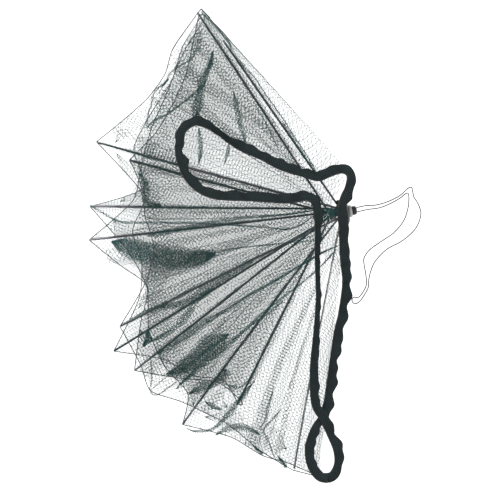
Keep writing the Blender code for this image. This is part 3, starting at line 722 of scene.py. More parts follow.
class Net:
    """A net as a closed ring of lines from its hub to its rim, folded flat."""

    def __init__(self, lines: Sequence[Line], ribs: dict[str, Rib], hub_ahead: float, hub_length: float,
                 sleeve: float) -> None:
        """Lay the lines.

        Args:
            lines: The lines, in order round the net.
            ribs: The ribs that carry it, by corner.
            hub_ahead: How far its hub stands along the hubs' axis.
            hub_length: The hub's length.
            sleeve: How far from the hub the net starts.
        """
        self.lines = lines
        self.ribs = {}
        for corner, rib in ribs.items():
            centre = AHEAD * (hub_ahead + hub_length / 2 + GAP + SOCKET_DEPTH)
            start = centre + ACROSS * rib.across + UP * (AXIS_HEIGHT + rib.above)
            self.ribs[corner] = (start, polar(rib.angle, rib.reach, rib.height))
        self.sides = {corner: rib.side for corner, rib in ribs.items()}
        self.sleeve = sleeve
        self.roots: list = [None] * len(lines)
        self.rims: list = [None] * len(lines)
        self.place_fixed_lines()
        self.place_folds()

    def place_fixed_lines(self) -> None:
        """Lay the lines that a rib or a root point holds."""
        for index, line in enumerate(self.lines):
            if line.corner:
                start, tip = self.ribs[line.corner]
                run = (tip - start).normalized()
                level = Vector((run.x, run.y, 0.0)).normalized()
                aside = Vector((-level.y, level.x, 0.0)) * line.beyond
                lift = UP * (RIB_TO_NET * self.sides[line.corner])
                root = start + run * self.sleeve + aside
                rim = root + run * ((line.reach - math.hypot(root.x, root.y)) / level.length)
                if line.beyond:
                    root.z, rim.z = line.root[0], line.height
                else:
                    root += lift
                    rim += lift
                self.roots[index], self.rims[index] = root, rim
            elif line.root:
                self.roots[index] = polar(*line.root)
                self.rims[index] = polar(line.angle, line.reach, line.height)

    def place_folds(self) -> None:
        """Start each fold between the lines on its two sides that are already laid."""
        held = [index for index, root in enumerate(self.roots) if root is not None]
        for index, line in enumerate(self.lines):
            if index in held:
                continue
            before = max(other for other in held if other < index)
            after = min((other for other in held if other > index), default=0)
            count = (after or len(self.lines)) - before
            share = (index - before) / count
            self.roots[index] = self.roots[before].lerp(self.roots[after], share)
            self.rims[index] = polar(line.angle, line.reach, line.height)

    def slope(self, points: Sequence[Vector], index: int) -> Vector:
        """How a fold's end runs on from its neighbours. A line on a rib or an edge stays sharp."""
        line = self.lines[index]
        if line.corner or line.root:
            return Vector()
        run = (points[(index + 1) % len(points)] - points[index - 1]) * FOLD_ROUNDING
        return Vector((run.x, run.y, 0.0))

    def ends(self, around: float) -> tuple[Vector, Vector]:
        """The root and the rim at a place around the ring of lines."""
        count = len(self.lines)
        around %= count
        index = int(around)
        after = (index + 1) % count
        root, rim = (
            hermite(
                points[index],
                points[after],
                self.slope(points, index),
                self.slope(points, after),
                around - index,
            )
            for points in (self.roots, self.rims)
        )
        return root, rim

    def point(self, around: float, along: float) -> Vector:
        """The net's middle surface at a place around the ring and along from hub to rim."""
        around %= len(self.lines)
        root, rim = self.ends(around)
        level = Vector((rim.x - root.x, rim.y - root.y, 0.0)).normalized()
        hump = math.sin(math.pi * along)
        index = int(around)
        first, second = self.lines[index], self.lines[(index + 1) % len(self.lines)]
        share = ease(around - index)
        sway = mix(first.sway, second.sway, share) * hump
        belly = mix(first.belly, second.belly, share) * hump
        return root.lerp(rim, along) + Vector((-level.y, level.x, 0.0)) * sway + UP * belly


class Pleat(NamedTuple):
    """Folds laid side by side along a net: their place on the ring, their width at the rim, their layers."""

    around: float
    width: float
    layers: int


Locate = Callable[[float, float], Vector | None]


def simplify(points: list[Vector], within: float) -> list[Vector]:
    """Drop the points of a run that lie close to the line between the ones kept."""
    if len(points) < 3:
        return points
    start, run = points[0], points[-1] - points[0]
    length = max(run.length, 1e-9)
    away = [run.cross(point - start).length / length for point in points]
    worst = max(range(len(points)), key=away.__getitem__)
    if away[worst] <= within:
        return [points[0], points[-1]]
    return simplify(points[: worst + 1], within)[:-1] + simplify(points[worst:], within)


@dataclass
class Weave:
    """Two families of straight strands over a flat pattern."""

    pitch: float
    angles: tuple[float, float]
    step: float = 0.003
    within: float = 0.0004

    def edge(self, locate: Locate, inside: Vector, outside: Vector) -> Vector | None:
        """Where a strand between two flat points leaves the cloth."""
        for _ in range(6):
            middle = (inside + outside) / 2
            if locate(middle.x, middle.y) is None:
                outside = middle
            else:
                inside = middle
        return locate(inside.x, inside.y)

    def lay(self, locate: Locate, low: tuple[float, float], high: tuple[float, float]) -> list[list[Vector]]:
        """Lay the strands.

        Args:
            locate: Carries a flat point into space, or gives None off the cloth.
            low: The pattern's lowest flat corner.
            high: Its highest flat corner.

        Returns:
            Each strand's points in space.
        """
        centre = Vector(((low[0] + high[0]) / 2, (low[1] + high[1]) / 2))
        radius = math.hypot(high[0] - low[0], high[1] - low[1]) / 2
        strands = []
        for angle in self.angles:
            along = Vector((math.cos(math.radians(angle)), math.sin(math.radians(angle))))
            aside = Vector((-along.y, along.x))
            rows = int(radius / self.pitch)
            for row in range(-rows, rows + 1):
                strands += self.strand(locate, centre + aside * (row * self.pitch), along, radius)
        return strands

    def strand(self, locate: Locate, middle: Vector, along: Vector, radius: float) -> list[list[Vector]]:
        """The runs of one strand that lie on the cloth."""
        runs: list[list[Vector]] = []
        here: list[Vector] = []
        count = int(radius / self.step)
        was: Vector | None = None
        for number in range(-count, count + 1):
            flat = middle + along * (number * self.step)
            spot = locate(flat.x, flat.y)
            if spot is None:
                if here:
                    here.append(self.edge(locate, was, flat))
                    runs.append(here)
                    here = []
            else:
                if not here and was is not None:
                    here.append(self.edge(locate, flat, was))
                here.append(spot)
            was = flat
        if here:
            runs.append(here)
        return [simplify(run, self.within) for run in runs if run_length(run) > self.step]


def within_outline(outline: Sequence[Vector], spot: Vector) -> bool:
    """Whether a spot lies inside a closed outline, seen from above."""
    found = False
    for first, second in zip(outline, [*outline[1:], outline[0]]):
        if (first.y > spot.y) != (second.y > spot.y):
            where = first.x + (spot.y - first.y) * (second.x - first.x) / (second.y - first.y)
            found ^= spot.x < where
    return found


PLEAT_REACH = 0.28
ARC_AT = 0.8
CLOTH_FLOOR = 0.0005


class Pattern:
    """A net's flat disc, and the way that its pleats and leaves carry it into space."""

    def __init__(
        self,
        net: Net,
        pleats: Sequence[Pleat],
        seed: float,
        openings: Sequence[Sequence[Vector]] = (),
        front: tuple[float, float] = (0.0, 0.0),
    ) -> None:
        """Measure the net and set its pleats.

        Args:
            net: The folded net.
            pleats: The pleats that take up its fullness.
            seed: Where its uneven ripples start.
            openings: Outlines that are cut from the front leaf.
            front: The lines between which the front leaf lies.
        """
        self.net = net
        self.seed = seed
        self.openings = openings
        self.front = front
        self.inner = 0.012
        self.layer = 0.0004
        self.drift = 0.22
        self.sway = 0.0009
        self.swell = 0.0006
        self.knots: list[tuple[float, float, float, float]] = []
        self.set_pleats(sorted(pleats))
        self.turns = [knot[0] for knot in self.knots]

    def arc(self, first: float, last: float) -> float:
        """The cloth angle between two places of the ring that lie less than a line apart."""
        before, after = self.net.point(first, ARC_AT), self.net.point(last, ARC_AT)
        root, rim = self.net.ends((first + last) / 2)
        return (after - before).length / (self.inner + ARC_AT * (rim - root).length)

    def set_pleats(self, pleats: Sequence[Pleat]) -> None:
        """List the knots of the way round: cloth angle, place, pleat offset at the rim and layer."""
        count = len(self.net.lines)
        turn, place = 0.0, 0.0
        self.knots.append((turn, place, 0.0, 0.0))
        marks = sorted({*range(1, count + 1), *(pleat.around for pleat in pleats)})
        waiting = {pleat.around: pleat for pleat in pleats}
        for mark in marks:
            steps = 4
            for step in range(steps):
                near = mix(place, mark, step / steps)
                turn += self.arc(near, mix(place, mark, (step + 1) / steps))
            place = mark
            pleat = waiting.get(mark)
            if pleat:
                angle = pleat.width / PLEAT_REACH
                turn += angle / 2
                self.knots.append((turn, place, 0.5 * pleat.width, 0.0))
                for fold in range(1, pleat.layers):
                    turn += angle
                    side = 0.5 * pleat.width * (-1.0 if fold % 2 else 1.0)
                    self.knots.append((turn, place, side, float(fold)))
                self.knots.append((turn + angle / 2, place, 0.5 * pleat.width + angle * PLEAT_REACH / 2, 0.0))
                turn += angle / 2
            else:
                self.knots.append((turn, place, 0.0, 0.0))
        scale = 2 * math.pi / turn
        self.fullness = scale
        self.knots = [(knot[0] * scale, *knot[1:]) for knot in self.knots]

    def area(self) -> float:
        """The flat area in square metres, less what the openings take."""
        total = 0.0
        for first, second in zip(self.knots, self.knots[1:]):
            root, rim = self.net.ends((first[1] + second[1]) / 2)
            reach = self.inner + (rim - root).length
            total += (second[0] - first[0]) * (reach * reach - self.inner * self.inner) / 2
        for outline in self.openings:
            turned = zip(outline, [*outline[1:], outline[0]])
            total -= abs(sum(here.x * after.y - after.x * here.y for here, after in turned)) / 2
        return total

    def locate(self, x: float, y: float) -> Vector | None:
        """Carry a flat point into space, or give None off the cloth or in an opening."""
        reach = math.hypot(x, y)
        if reach < self.inner:
            return None
        turn = math.atan2(y, x) % (2 * math.pi)
        index = min(bisect_right(self.turns, turn), len(self.knots) - 1)
        first, second = self.knots[index - 1], self.knots[index]
        share = (turn - first[0]) / max(second[0] - first[0], 1e-9)
        around = mix(first[1], second[1], share)
        offset, layer = mix(first[2], second[2], share), mix(first[3], second[3], share)
        root, rim = self.net.ends(around)
        along = (reach - self.inner) / (rim - root).length
        if along > 1.0:
            return None
        around += self.drift * ripple(around * 3.0, along * 2.2, 1.0, self.seed) * math.sin(math.pi * along)
        spot = self.net.point(around, along)
        level = Vector((rim.x - root.x, rim.y - root.y, 0.0)).normalized()
        aside = Vector((-level.y, level.x, 0.0))
        waver = 1.0 + 0.5 * ripple(around * 2.0, along * 3.0, 1.0, self.seed + 7.0)
        spot += aside * (offset * along * waver)
        spot.x += self.sway * ripple(spot.x, spot.y, 0.016, self.seed + 11.0)
        spot.y += self.sway * ripple(spot.x, spot.y, 0.016, self.seed + 13.0)
        spot.z += layer * self.layer + self.swell * ripple(spot.x, spot.y, 0.020, self.seed + 17.0)
        spot.z = max(spot.z, CLOTH_FLOOR)
        if self.front[0] <= around <= self.front[1]:
            if any(within_outline(outline, spot) for outline in self.openings):
                return None
        return spot


@dataclass
class Band:
    """A strip of netting gathered along a path: layers folded back and forth across it."""

    path: Sequence[Vector]
    widths: tuple[float, ...]
    layers: int
    lift: float
    seed: float
    wander: float = 0.0012
    taper: float = 0.016
    ragged: float = 0.75
    spread: float = 0.35
    blunt: float = 0.12
    swell: float = 0.0004

    def __post_init__(self) -> None:
        """Smooth the path and measure the strip."""
        self.line = spline(self.path, max(int(run_length(self.path) / 0.004), 8))
        self.length = run_length(self.line)
        self.mean = sum(self.widths) / len(self.widths)
        self.flat = (self.mean * self.layers, self.length)

    def locate(self, x: float, y: float) -> Vector | None:
        """Carry a flat point into space: x along the strip, y across it."""
        if not (0.0 <= x <= self.length and 0.0 <= y <= self.flat[0]):
            return None
        place = x / self.length * (len(self.line) - 1)
        index = min(int(place), len(self.line) - 2)
        spot = self.line[index].lerp(self.line[index + 1], place - index)
        run = self.line[min(index + 2, len(self.line) - 1)] - self.line[max(index - 1, 0)]
        aside = Vector((-run.y, run.x, 0.0)).normalized()
        share = x / self.length * (len(self.widths) - 1)
        first = min(int(share), len(self.widths) - 2)
        width = mix(self.widths[first], self.widths[first + 1], ease(share - first))
        fold = min(int(y / self.mean), self.layers - 1)
        across = y / self.mean - fold
        across = (1.0 - across if fold % 2 else across) - 0.5
        taper = self.taper * (1.0 + 0.8 * ripple(fold * 0.31, 0.0, 0.1, self.seed))
        near_end = min(x, self.length - x) / taper
        edge = 1.0 + self.ragged * ripple(x, fold * 0.05, 0.020, self.seed)
        edge *= ease(min(near_end + self.blunt, 1.0))
        spot = spot + aside * (width * across * edge)
        loose = self.wander + self.spread * width
        spot += aside * (loose * ripple(x, fold * 0.03, 0.032, self.seed + 3.0))
        spot.z += self.lift * (fold + across) / max(self.layers, 1)
        spot.z += self.swell * ripple(spot.x, spot.y, 0.012, self.seed + 5.0)
        spot.z = max(spot.z, CLOTH_FLOOR)
        return spot

    def strands(self, weave: Weave) -> list[list[Vector]]:
        """The strip's strands."""
        return weave.lay(self.locate, (0.0, 0.0), (self.length, self.flat[0]))


# Plain meshes


def swept_mesh(name: str, path: Sequence[Vector], radii: Sequence[float], sides: int) -> bpy.types.Mesh:
    """A closed round body along a path.

    Args:
        name: The mesh's name.
        path: Points along its middle.
        radii: The radius at each point.
        sides: How many sides it has.

    Returns:
        The mesh, with a map that runs along and around it in metres.
    """
    points, marks = [], []
    reached = 0.0
    side = Vector((0.0, 0.0, 1.0))
    for step, here in enumerate(path):
        run = (path[min(step + 1, len(path) - 1)] - path[max(step - 1, 0)]).normalized()
        side = (side - run * side.dot(run)).normalized()
        over = run.cross(side)
        if step:
            reached += (here - path[step - 1]).length
        for turn in range(sides):
            angle = 2 * math.pi * turn / sides
            points.append(here + (side * math.cos(angle) + over * math.sin(angle)) * radii[step])
            marks.append((reached, angle * max(radii)))
    faces = []
    for step in range(len(path) - 1):
        low = step * sides
        for turn in range(sides):
            after = (turn + 1) % sides
            faces.append((low + turn, low + after, low + sides + after, low + sides + turn))
    last = sides * (len(path) - 1)
    faces += [tuple(range(sides))[::-1], tuple(range(last, last + sides))]
    return mapped_mesh(name, points, faces, marks)


def mapped_mesh(
    name: str, points: Sequence[Vector], faces: Sequence[tuple], marks: Sequence[tuple]
) -> bpy.types.Mesh:
    """A smooth mesh with a map that gives each point its own place."""
    made = bpy.data.meshes.new(name)
    made.from_pydata([tuple(point) for point in points], [], faces)
    layer = made.uv_layers.new(name="map")
    for loop in made.loops:
        layer.data[loop.index].uv = marks[loop.vertex_index]
    for face in made.polygons:
        face.use_smooth = len(face.vertices) == 4
    return made


def rounded(length: float, radius: float, bevel: float) -> list[tuple[float, float]]:
    """Places and radii along a rod with rounded ends."""
    start = [(0.0, radius - bevel), (bevel * 0.3, radius - bevel * 0.3), (bevel, radius)]
    return [*start, *((length - place, size) for place, size in reversed(start))]


def swept(name: str, start: Vector, run: Vector, profile: Sequence[tuple[float, float]], sides: int,
          finish: Finish) -> bpy.types.Object:
    """A turned body from a start along a direction, from places and radii."""
    path = [start + run * place for place, _ in profile]
    return placed(name, swept_mesh(name, path, [size for _, size in profile], sides), finish)


def placed(name: str, mesh: bpy.types.Mesh, finish: Finish) -> bpy.types.Object:
    """Link a mesh as an object with one finish."""
    mesh.materials.append(finish.material())
    made = bpy.data.objects.new(name, mesh)
    bpy.context.scene.collection.objects.link(made)
    return made


def joined(name: str, pieces: Sequence[bpy.types.Object]) -> bpy.types.Object:
    """Join objects into the first of them, under a new name."""
    with bpy.context.temp_override(active_object=pieces[0], selected_editable_objects=list(pieces)):
        bpy.ops.object.join()
    pieces[0].name = name
    pieces[0].data.name = name
    return pieces[0]


def settle(piece: bpy.types.Object, finish: Finish, *nodes: str) -> bpy.types.Object:
    """Let a piece ride, hide the solids that it stands for, and report it."""
    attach(piece, "root")
    finish.slot
    if nodes:
        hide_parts(*nodes)
    LOG.info("%s: %d faces", piece.name, len(piece.data.polygons))
    return piece


# Sub-assemblies


class Fold(NamedTuple):
    """A gathered fold: its points from above in millimetres, its widths, its layers and its height."""

    points: tuple[tuple[float, float], ...]
    widths: tuple[float, ...]
    layers: int
    height: float = 27.0


INNER_FOLDS = (
    Fold(((-287, 8), (-269, -3), (-252, -11), (-227, -12), (-156, -13), (-103, -16), (-61, -19), (-34, -4)),
         (2.0, 3.5, 4.0, 2.5, 1.8, 1.5), 5),
    Fold(((-163, -48), (-128, -42), (-99, -38), (-61, -34), (-36, -27)), (2.6, 2.0, 1.5), 5),
    Fold(((-222, -27), (-189, -20), (-156, -13), (-127, -8), (-60, -2), (-33, 2)), (8.0, 7.0, 3.0, 2.0), 4),
    Fold(((-7, -38), (-34, -51), (-69, -72), (-99, -89), (-129, -107), (-157, -125), (-180, -140),
         (-210, -160)), (1.8, 2.5, 3.0, 3.2, 5.0, 10.0, 6.0), 5),
    Fold(((-9, -42), (-34, -68), (-56, -86), (-89, -111), (-109, -130), (-129, -149), (-157, -172),
         (-182, -191), (-189, -199)), (1.5, 2.2, 2.5, 3.5, 4.5, 3.0), 5),
    Fold(((-69, -100), (-101, -125), (-128, -145), (-158, -168), (-186, -194)), (2.5, 4.0, 3.5), 4),
    Fold(((-101, -190), (-117, -209), (-128, -225), (-138, -236), (-150, -245), (-168, -247), (-178, -243)),
         (2.5, 4.5, 6.5, 5.0, 3.0, 2.0), 5),
    Fold(((-162, 225), (-131, 193), (-126, 179), (-102, 152), (-93, 138), (-73, 110), (-59, 89), (-41, 61),
          (-30, 42)), (2.5, 2.5, 1.6, 1.6, 1.6), 5),
    Fold(((-70, 102), (-54, 77), (-40, 53)), (3.0, 4.0, 3.0), 3),
    Fold(((-103, 125), (-93, 109), (-83, 89), (-74, 70)), (2.0, 2.0), 3),
    Fold(((-160, 142), (-178, 126), (-197, 112), (-213, 103), (-221, 97), (-218, 93)),
         (3.5, 2.5, 2.5, 4.0), 5),
    Fold(((-197, 113), (-193, 102), (-189, 90)), (2.0, 1.6), 4),
    Fold(((-125, 136), (-122, 122), (-119, 106), (-114, 89), (-111, 78)), (4.0, 6.0, 6.0, 4.0), 4),
    Fold(((-164, 95), (-162, 81), (-162, 68), (-164, 53)), (6.0, 6.0, 4.0), 4, 23.0),
    Fold(((-130, 81), (-131, 70), (-135, 54)), (5.0, 5.0), 3, 23.0),
)
OUTER_FOLDS = (
    Fold(((-222, -133), (-222, -142), (-227, -151)), (9.0, 13.0, 8.0), 6),
    Fold(((-146, -85), (-167, -101), (-178, -119), (-189, -129), (-204, -138), (-219, -146)),
         (4.0, 7.0, 8.0, 5.0), 4),
    Fold(((-218, -164), (-217, -189), (-219, -200), (-213, -206), (-200, -199), (-189, -191)),
         (2.0, 2.0), 4),
    Fold(((-157, 184), (-167, 183), (-171, 174), (-183, 165), (-197, 155), (-201, 145), (-213, 137),
         (-217, 121), (-222, 107), (-223, 97)), (1.2, 1.6, 2.6, 2.2, 2.0, 2.6), 4),
    Fold(((-207, 140), (-202, 145), (-198, 150)), (5.0, 6.0), 4),
    Fold(((-25, -30), (-47, -33), (-64, -35)), (2.2, 2.0), 4),
    Fold(((-136, -142), (-157, -158), (-174, -172), (-188, -183)), (3.0, 5.0, 4.0), 4),
    Fold(((-80, -197), (-85, -217), (-89, -233), (-97, -243)), (3.0, 4.0, 2.5), 4),
    Fold(((-71, -222), (-77, -228), (-84, -236), (-91, -245), (-86, -258), (-79, -276)),
         (2.5, 3.0, 2.0), 4),
    Fold(((-145, -251), (-136, -245), (-126, -242), (-109, -243), (-95, -251)), (6.0, 8.0, 7.0, 3.5), 4),
    Fold(((-103, -263), (-97, -268), (-92, -272)), (6.0, 5.0), 5),
    Fold(((-74, -276), (-70, -282), (-66, -289)), (6.0, 9.0), 5, 20.0),
    Fold(((-157, -213), (-147, -219), (-139, -222)), (5.0, 6.0), 4),
    Fold(((-138, -192), (-120, -198), (-109, -190)), (3.0, 4.0), 4),
    Fold(((-144, -39), (-135, -34), (-118, -32)), (1.2, 1.2), 3),
    Fold(((-36, -6), (-20, -2), (-4, 2)), (12.0, 12.0, 9.0), 8),
)
FUNNEL_FOLDS = (
    Fold(((-148, 181), (-152, 166), (-160, 147), (-165, 124), (-166, 104)), (4.0, 5.0, 9.0, 13.0, 12.0), 6),
    Fold(((-262, -33), (-248, -38), (-219, -47), (-191, -52), (-163, -51), (-145, -47)),
         (14.0, 20.0, 24.0, 24.0, 17.0, 8.0), 7),
    Fold(((-130, -137), (-152, -150), (-167, -165), (-186, -178), (-201, -183)),
         (12.0, 22.0, 18.0, 9.0), 5),
    Fold(((-232, 45), (-227, 34), (-225, 22), (-225, 13), (-208, 9)), (6.0, 8.0, 8.0, 5.0), 6, 9.0),
    Fold(((-96, -49), (-135, -74), (-161, -93), (-182, -103), (-204, -107), (-222, -113), (-252, -128)),
         (3.0, 8.0, 11.0, 8.0, 6.0, 3.0), 5, 9.0),
    Fold(((-176, -206), (-158, -198), (-146, -193), (-136, -186), (-134, -178)),
         (8.0, 13.0, 10.0, 12.0), 5, 9.0),
)


def folded(folds: Sequence[Fold], weave: Weave, lift: float, seed: float) -> list:
    """The strands of some gathered folds.

    Args:
        folds: The folds.
        weave: Their weave.
        lift: The height of one fold's whole stack.
        seed: Where their unevenness starts.

    Returns:
        The strands.
    """
    strands = []
    for number, fold in enumerate(folds):
        path = [Vector((x, y, fold.height)) / 1000 for x, y in fold.points]
        band = Band(path, tuple(width / 1000 for width in fold.widths), fold.layers, lift, seed + number)
        strands += band.strands(weave)
    return strands


GATHER_WEAVE = Weave(0.0020, (48.0, -48.0), 0.0022, 0.0003)
SLEEVE_WEAVE = Weave(0.0017, (55.0, -55.0), 0.0025, 0.0003)
GATHER_WIDTH = 0.00030
FOLD_SEED, WALL_SEED, FUNNEL_SEED, SLEEVE_SEED = 20.0, 50.0, 70.0, 90.0


PLEAT_LAYERS = 3
OUTER_PLEATS = tuple(
    Pleat(around, width, PLEAT_LAYERS)
    for around, width in (
        (4.5, 0.012), (6.4, 0.010), (8.6, 0.014), (10.6, 0.012), (13.4, 0.012), (15.5, 0.012),
        (17.4, 0.010), (24.5, 0.012), (27.6, 0.014), (30.4, 0.012), (33.6, 0.014), (36.5, 0.012),
    )
)
INNER_PLEATS = tuple(
    Pleat(around, width, PLEAT_LAYERS)
    for around, width in (
        (1.5, 0.014), (3.5, 0.012), (5.5, 0.012), (7.5, 0.014), (10.5, 0.012), (12.4, 0.010),
        (17.6, 0.012), (20.5, 0.014), (22.4, 0.012), (25.5, 0.014), (28.5, 0.014),
    )
)


@dataclass
class Netting:
    """The two nets, with their rim hems and gathered folds."""

    trees: dict[str, Tree]
    strand_width: float = 0.00030
    strand_height: float = 0.00054
    pitch: float = 0.0034
    hem_radius: float = 0.00055
    hem_steps: int = 10
    fold_stack: float = 0.0014
    flat_reach: float = 0.32
    flat_side: tuple[float, float] = (0.60, 0.52)
    outer: Net = field(init=False)
    inner: Net = field(init=False)

    def __post_init__(self) -> None:
        """Lay both nets' lines."""
        self.outer = Net(OUTER_LINES, OUTER_RIBS, 0.0, REAR_HUB_LENGTH, OUTER_SLEEVE)
        self.inner = Net(INNER_LINES, INNER_RIBS, FRONT_HUB_AHEAD, FRONT_HUB_LENGTH, INNER_SLEEVE)

    def strands(
        self, name: str, runs: Iterable[Sequence[Vector]], finish: Finish, width: float = 0.0
    ) -> bpy.types.Object:
        """A piece of netting from the runs of its strands."""
        return self.trees["strands"].grow(
            name,
            line_mesh(name, runs),
            Width=width or self.strand_width,
            Height=self.strand_height,
            Finish=finish.material(),
        )

    def hem(self, name: str, net: Net) -> bpy.types.Object:
        """The cord sewn round a net's rim."""
        count = len(net.lines) * self.hem_steps
        run = [net.point(step / self.hem_steps, 1.0) for step in range(count + 1)]
        for spot in run:
            spot.z = max(spot.z + 0.0004 * ripple(spot.x, spot.y, 0.006, 3.0), self.hem_radius)
        return self.trees["tube"].grow(
            name, line_mesh(name, [run]), Radius=self.hem_radius, Sides=6, Finish=Finish.SEAM.material()
        )

    def build_net(self, name: str, pattern: Pattern, angles: tuple[float, float],
                  folds: Sequence[Fold], finish: Finish) -> bpy.types.Object:
        """Build one net with its hem and folds.

        Args:
            name: The net's node.
            pattern: Its flat disc.
            angles: The flat directions of its strands.
            folds: Its gathered folds.
            finish: The folds' finish, a darker netting that paints shade into the dense folds.

        Returns:
            The net's piece.
        """
        low, high = (-self.flat_reach, -self.flat_reach), (self.flat_reach, self.flat_reach)
        runs = Weave(self.pitch, angles).lay(pattern.locate, low, high)
        piece = self.strands(name + "_strands", runs, Finish.NET)
        hem = self.hem(name + "_hem", pattern.net)
        gathered = folded(folds, GATHER_WEAVE, self.fold_stack, pattern.seed + FOLD_SEED)
        gather = self.strands(name + "_folds", gathered, finish, GATHER_WIDTH)
        settle(hem, Finish.SEAM)
        settle(gather, finish)
        settle(piece, Finish.NET, name)
        pattern.area()
        LOG.info("%s: flat area %.4f, fullness %.3f", name, pattern.area(), pattern.fullness)
        return piece

    def build(self) -> None:
        """Build both nets."""
        openings = (mouth_outline(), strap_outline())
        outer = Pattern(self.outer, OUTER_PLEATS, 2.0, openings, (0.0, LEAF_CORNER + 0.5))
        inner = Pattern(self.inner, INNER_PLEATS, 31.0)
        outer_ribs = [f"rib_outer_{corner}_rod" for corner in self.outer.ribs]
        inner_ribs = [f"rib_inner_{corner}_rod" for corner in self.inner.ribs]
        # Both nets' gathered folds take the darker netting, as painted shade of their stacked layers
        self.build_net("net_outer", outer, (-64.0, 19.0), OUTER_FOLDS, Finish.FUNNEL_DYE_AND_FOLD_SHADE)
        self.build_net("net_inner", inner, (-40.0, 52.0), INNER_FOLDS, Finish.FUNNEL_DYE_AND_FOLD_SHADE)


def mouth_outline() -> list[Vector]:
    """The mouth's left part: the middle of the two tapes round their loop."""
    there = [Vector((bend.x, bend.y, 0.0)) for bend in LOWER_TAPE[:LOOP_BENDS_LOWER]]
    back = [Vector((bend.x, bend.y, 0.0)) for bend in UPPER_TAPE[1:LOOP_BENDS_UPPER]]
    return there + back[::-1]


def strap_outline() -> list[Vector]:
    """The mouth's right part: between the two tapes, from the hub to where they cross."""
    left = ((-0.0300, -0.045), (-0.0296, -0.094), (-0.0312, -0.141), (-0.0335, -0.178), (-0.0310, -0.215))
    right = (
        (-0.0240, -0.2300), (-0.0166, -0.2123), (-0.0112, -0.1739), (-0.0056, -0.1366), (-0.0010, -0.060),
    )
    return [Vector((x, y, 0.0)) for x, y in left + right]


class Wall(NamedTuple):
    """A wall panel: the outer net's lines that it runs between, its depth and its height."""

    first: float
    last: float
    depth: float
    height: float


WALLS = (
    Wall(2.35, 6.70, 0.11, 0.0254),
    Wall(7.30, 11.60, 0.10, 0.0254),
    Wall(12.40, 15.80, 0.13, 0.0254),
    Wall(23.20, 25.60, 0.12, 0.0082),
    Wall(26.40, 31.60, 0.11, 0.0082),
    Wall(32.40, 37.60, 0.12, 0.0082),
)


@dataclass
class Entrances:
    """The six wall panels, folded in under the rim, and the six funnels that they carry."""

    netting: Netting
    wall_pitch: float = 0.0034
    funnel_pitch: float = 0.0024
    stack: float = 0.0022
    wall_steps: int = 14
    wall_stack: float = 0.0016
    turned_in: float = 0.24
    wander: float = 0.002

    def build_wall(self, name: str, wall: Wall, seed: float) -> None:
        """Build one wall panel."""
        net = self.netting.outer
        path = []
        for step in range(self.wall_steps + 1):
            around = mix(wall.first, wall.last, step / self.wall_steps)
            spot = net.point(around, 1.0 - wall.depth * 0.5)
            path.append(Vector((spot.x, spot.y, wall.height)))
        depth = wall.depth * self.turned_in
        widths = (depth * 0.5, depth, depth * 0.8, depth, depth * 0.5)
        band = Band(path, widths, 1, self.wall_stack, seed, self.wander)
        runs = band.strands(Weave(self.wall_pitch, (42.0, -51.0)))
        piece = self.netting.strands(name + "_panel", runs, Finish.NET)
        settle(piece, Finish.NET, name)

    def build_funnel(self, name: str, fold: Fold, seed: float) -> None:
        """Build one funnel."""
        path = [Vector((x, y, fold.height)) / 1000 for x, y in fold.points]
        widths = tuple(width / 1000 for width in fold.widths)
        band = Band(path, widths, fold.layers, self.stack, seed, self.wander)
        runs = band.strands(Weave(self.funnel_pitch, (50.0, -44.0), 0.0025, 0.0003))
        # The funnels take the darker netting: their own dye with painted shade of their dense folds
        piece = self.netting.strands(name + "_cloth", runs, Finish.FUNNEL_DYE_AND_FOLD_SHADE, GATHER_WIDTH)
        settle(piece, Finish.FUNNEL_DYE_AND_FOLD_SHADE, name)

    def build(self) -> None:
        """Build the walls and the funnels."""
        for number, wall in enumerate(WALLS, 1):
            self.build_wall(f"wall_{number}", wall, WALL_SEED + number)
        for number, fold in enumerate(FUNNEL_FOLDS, 1):
            self.build_funnel(f"funnel_{number}", fold, FUNNEL_SEED + number)


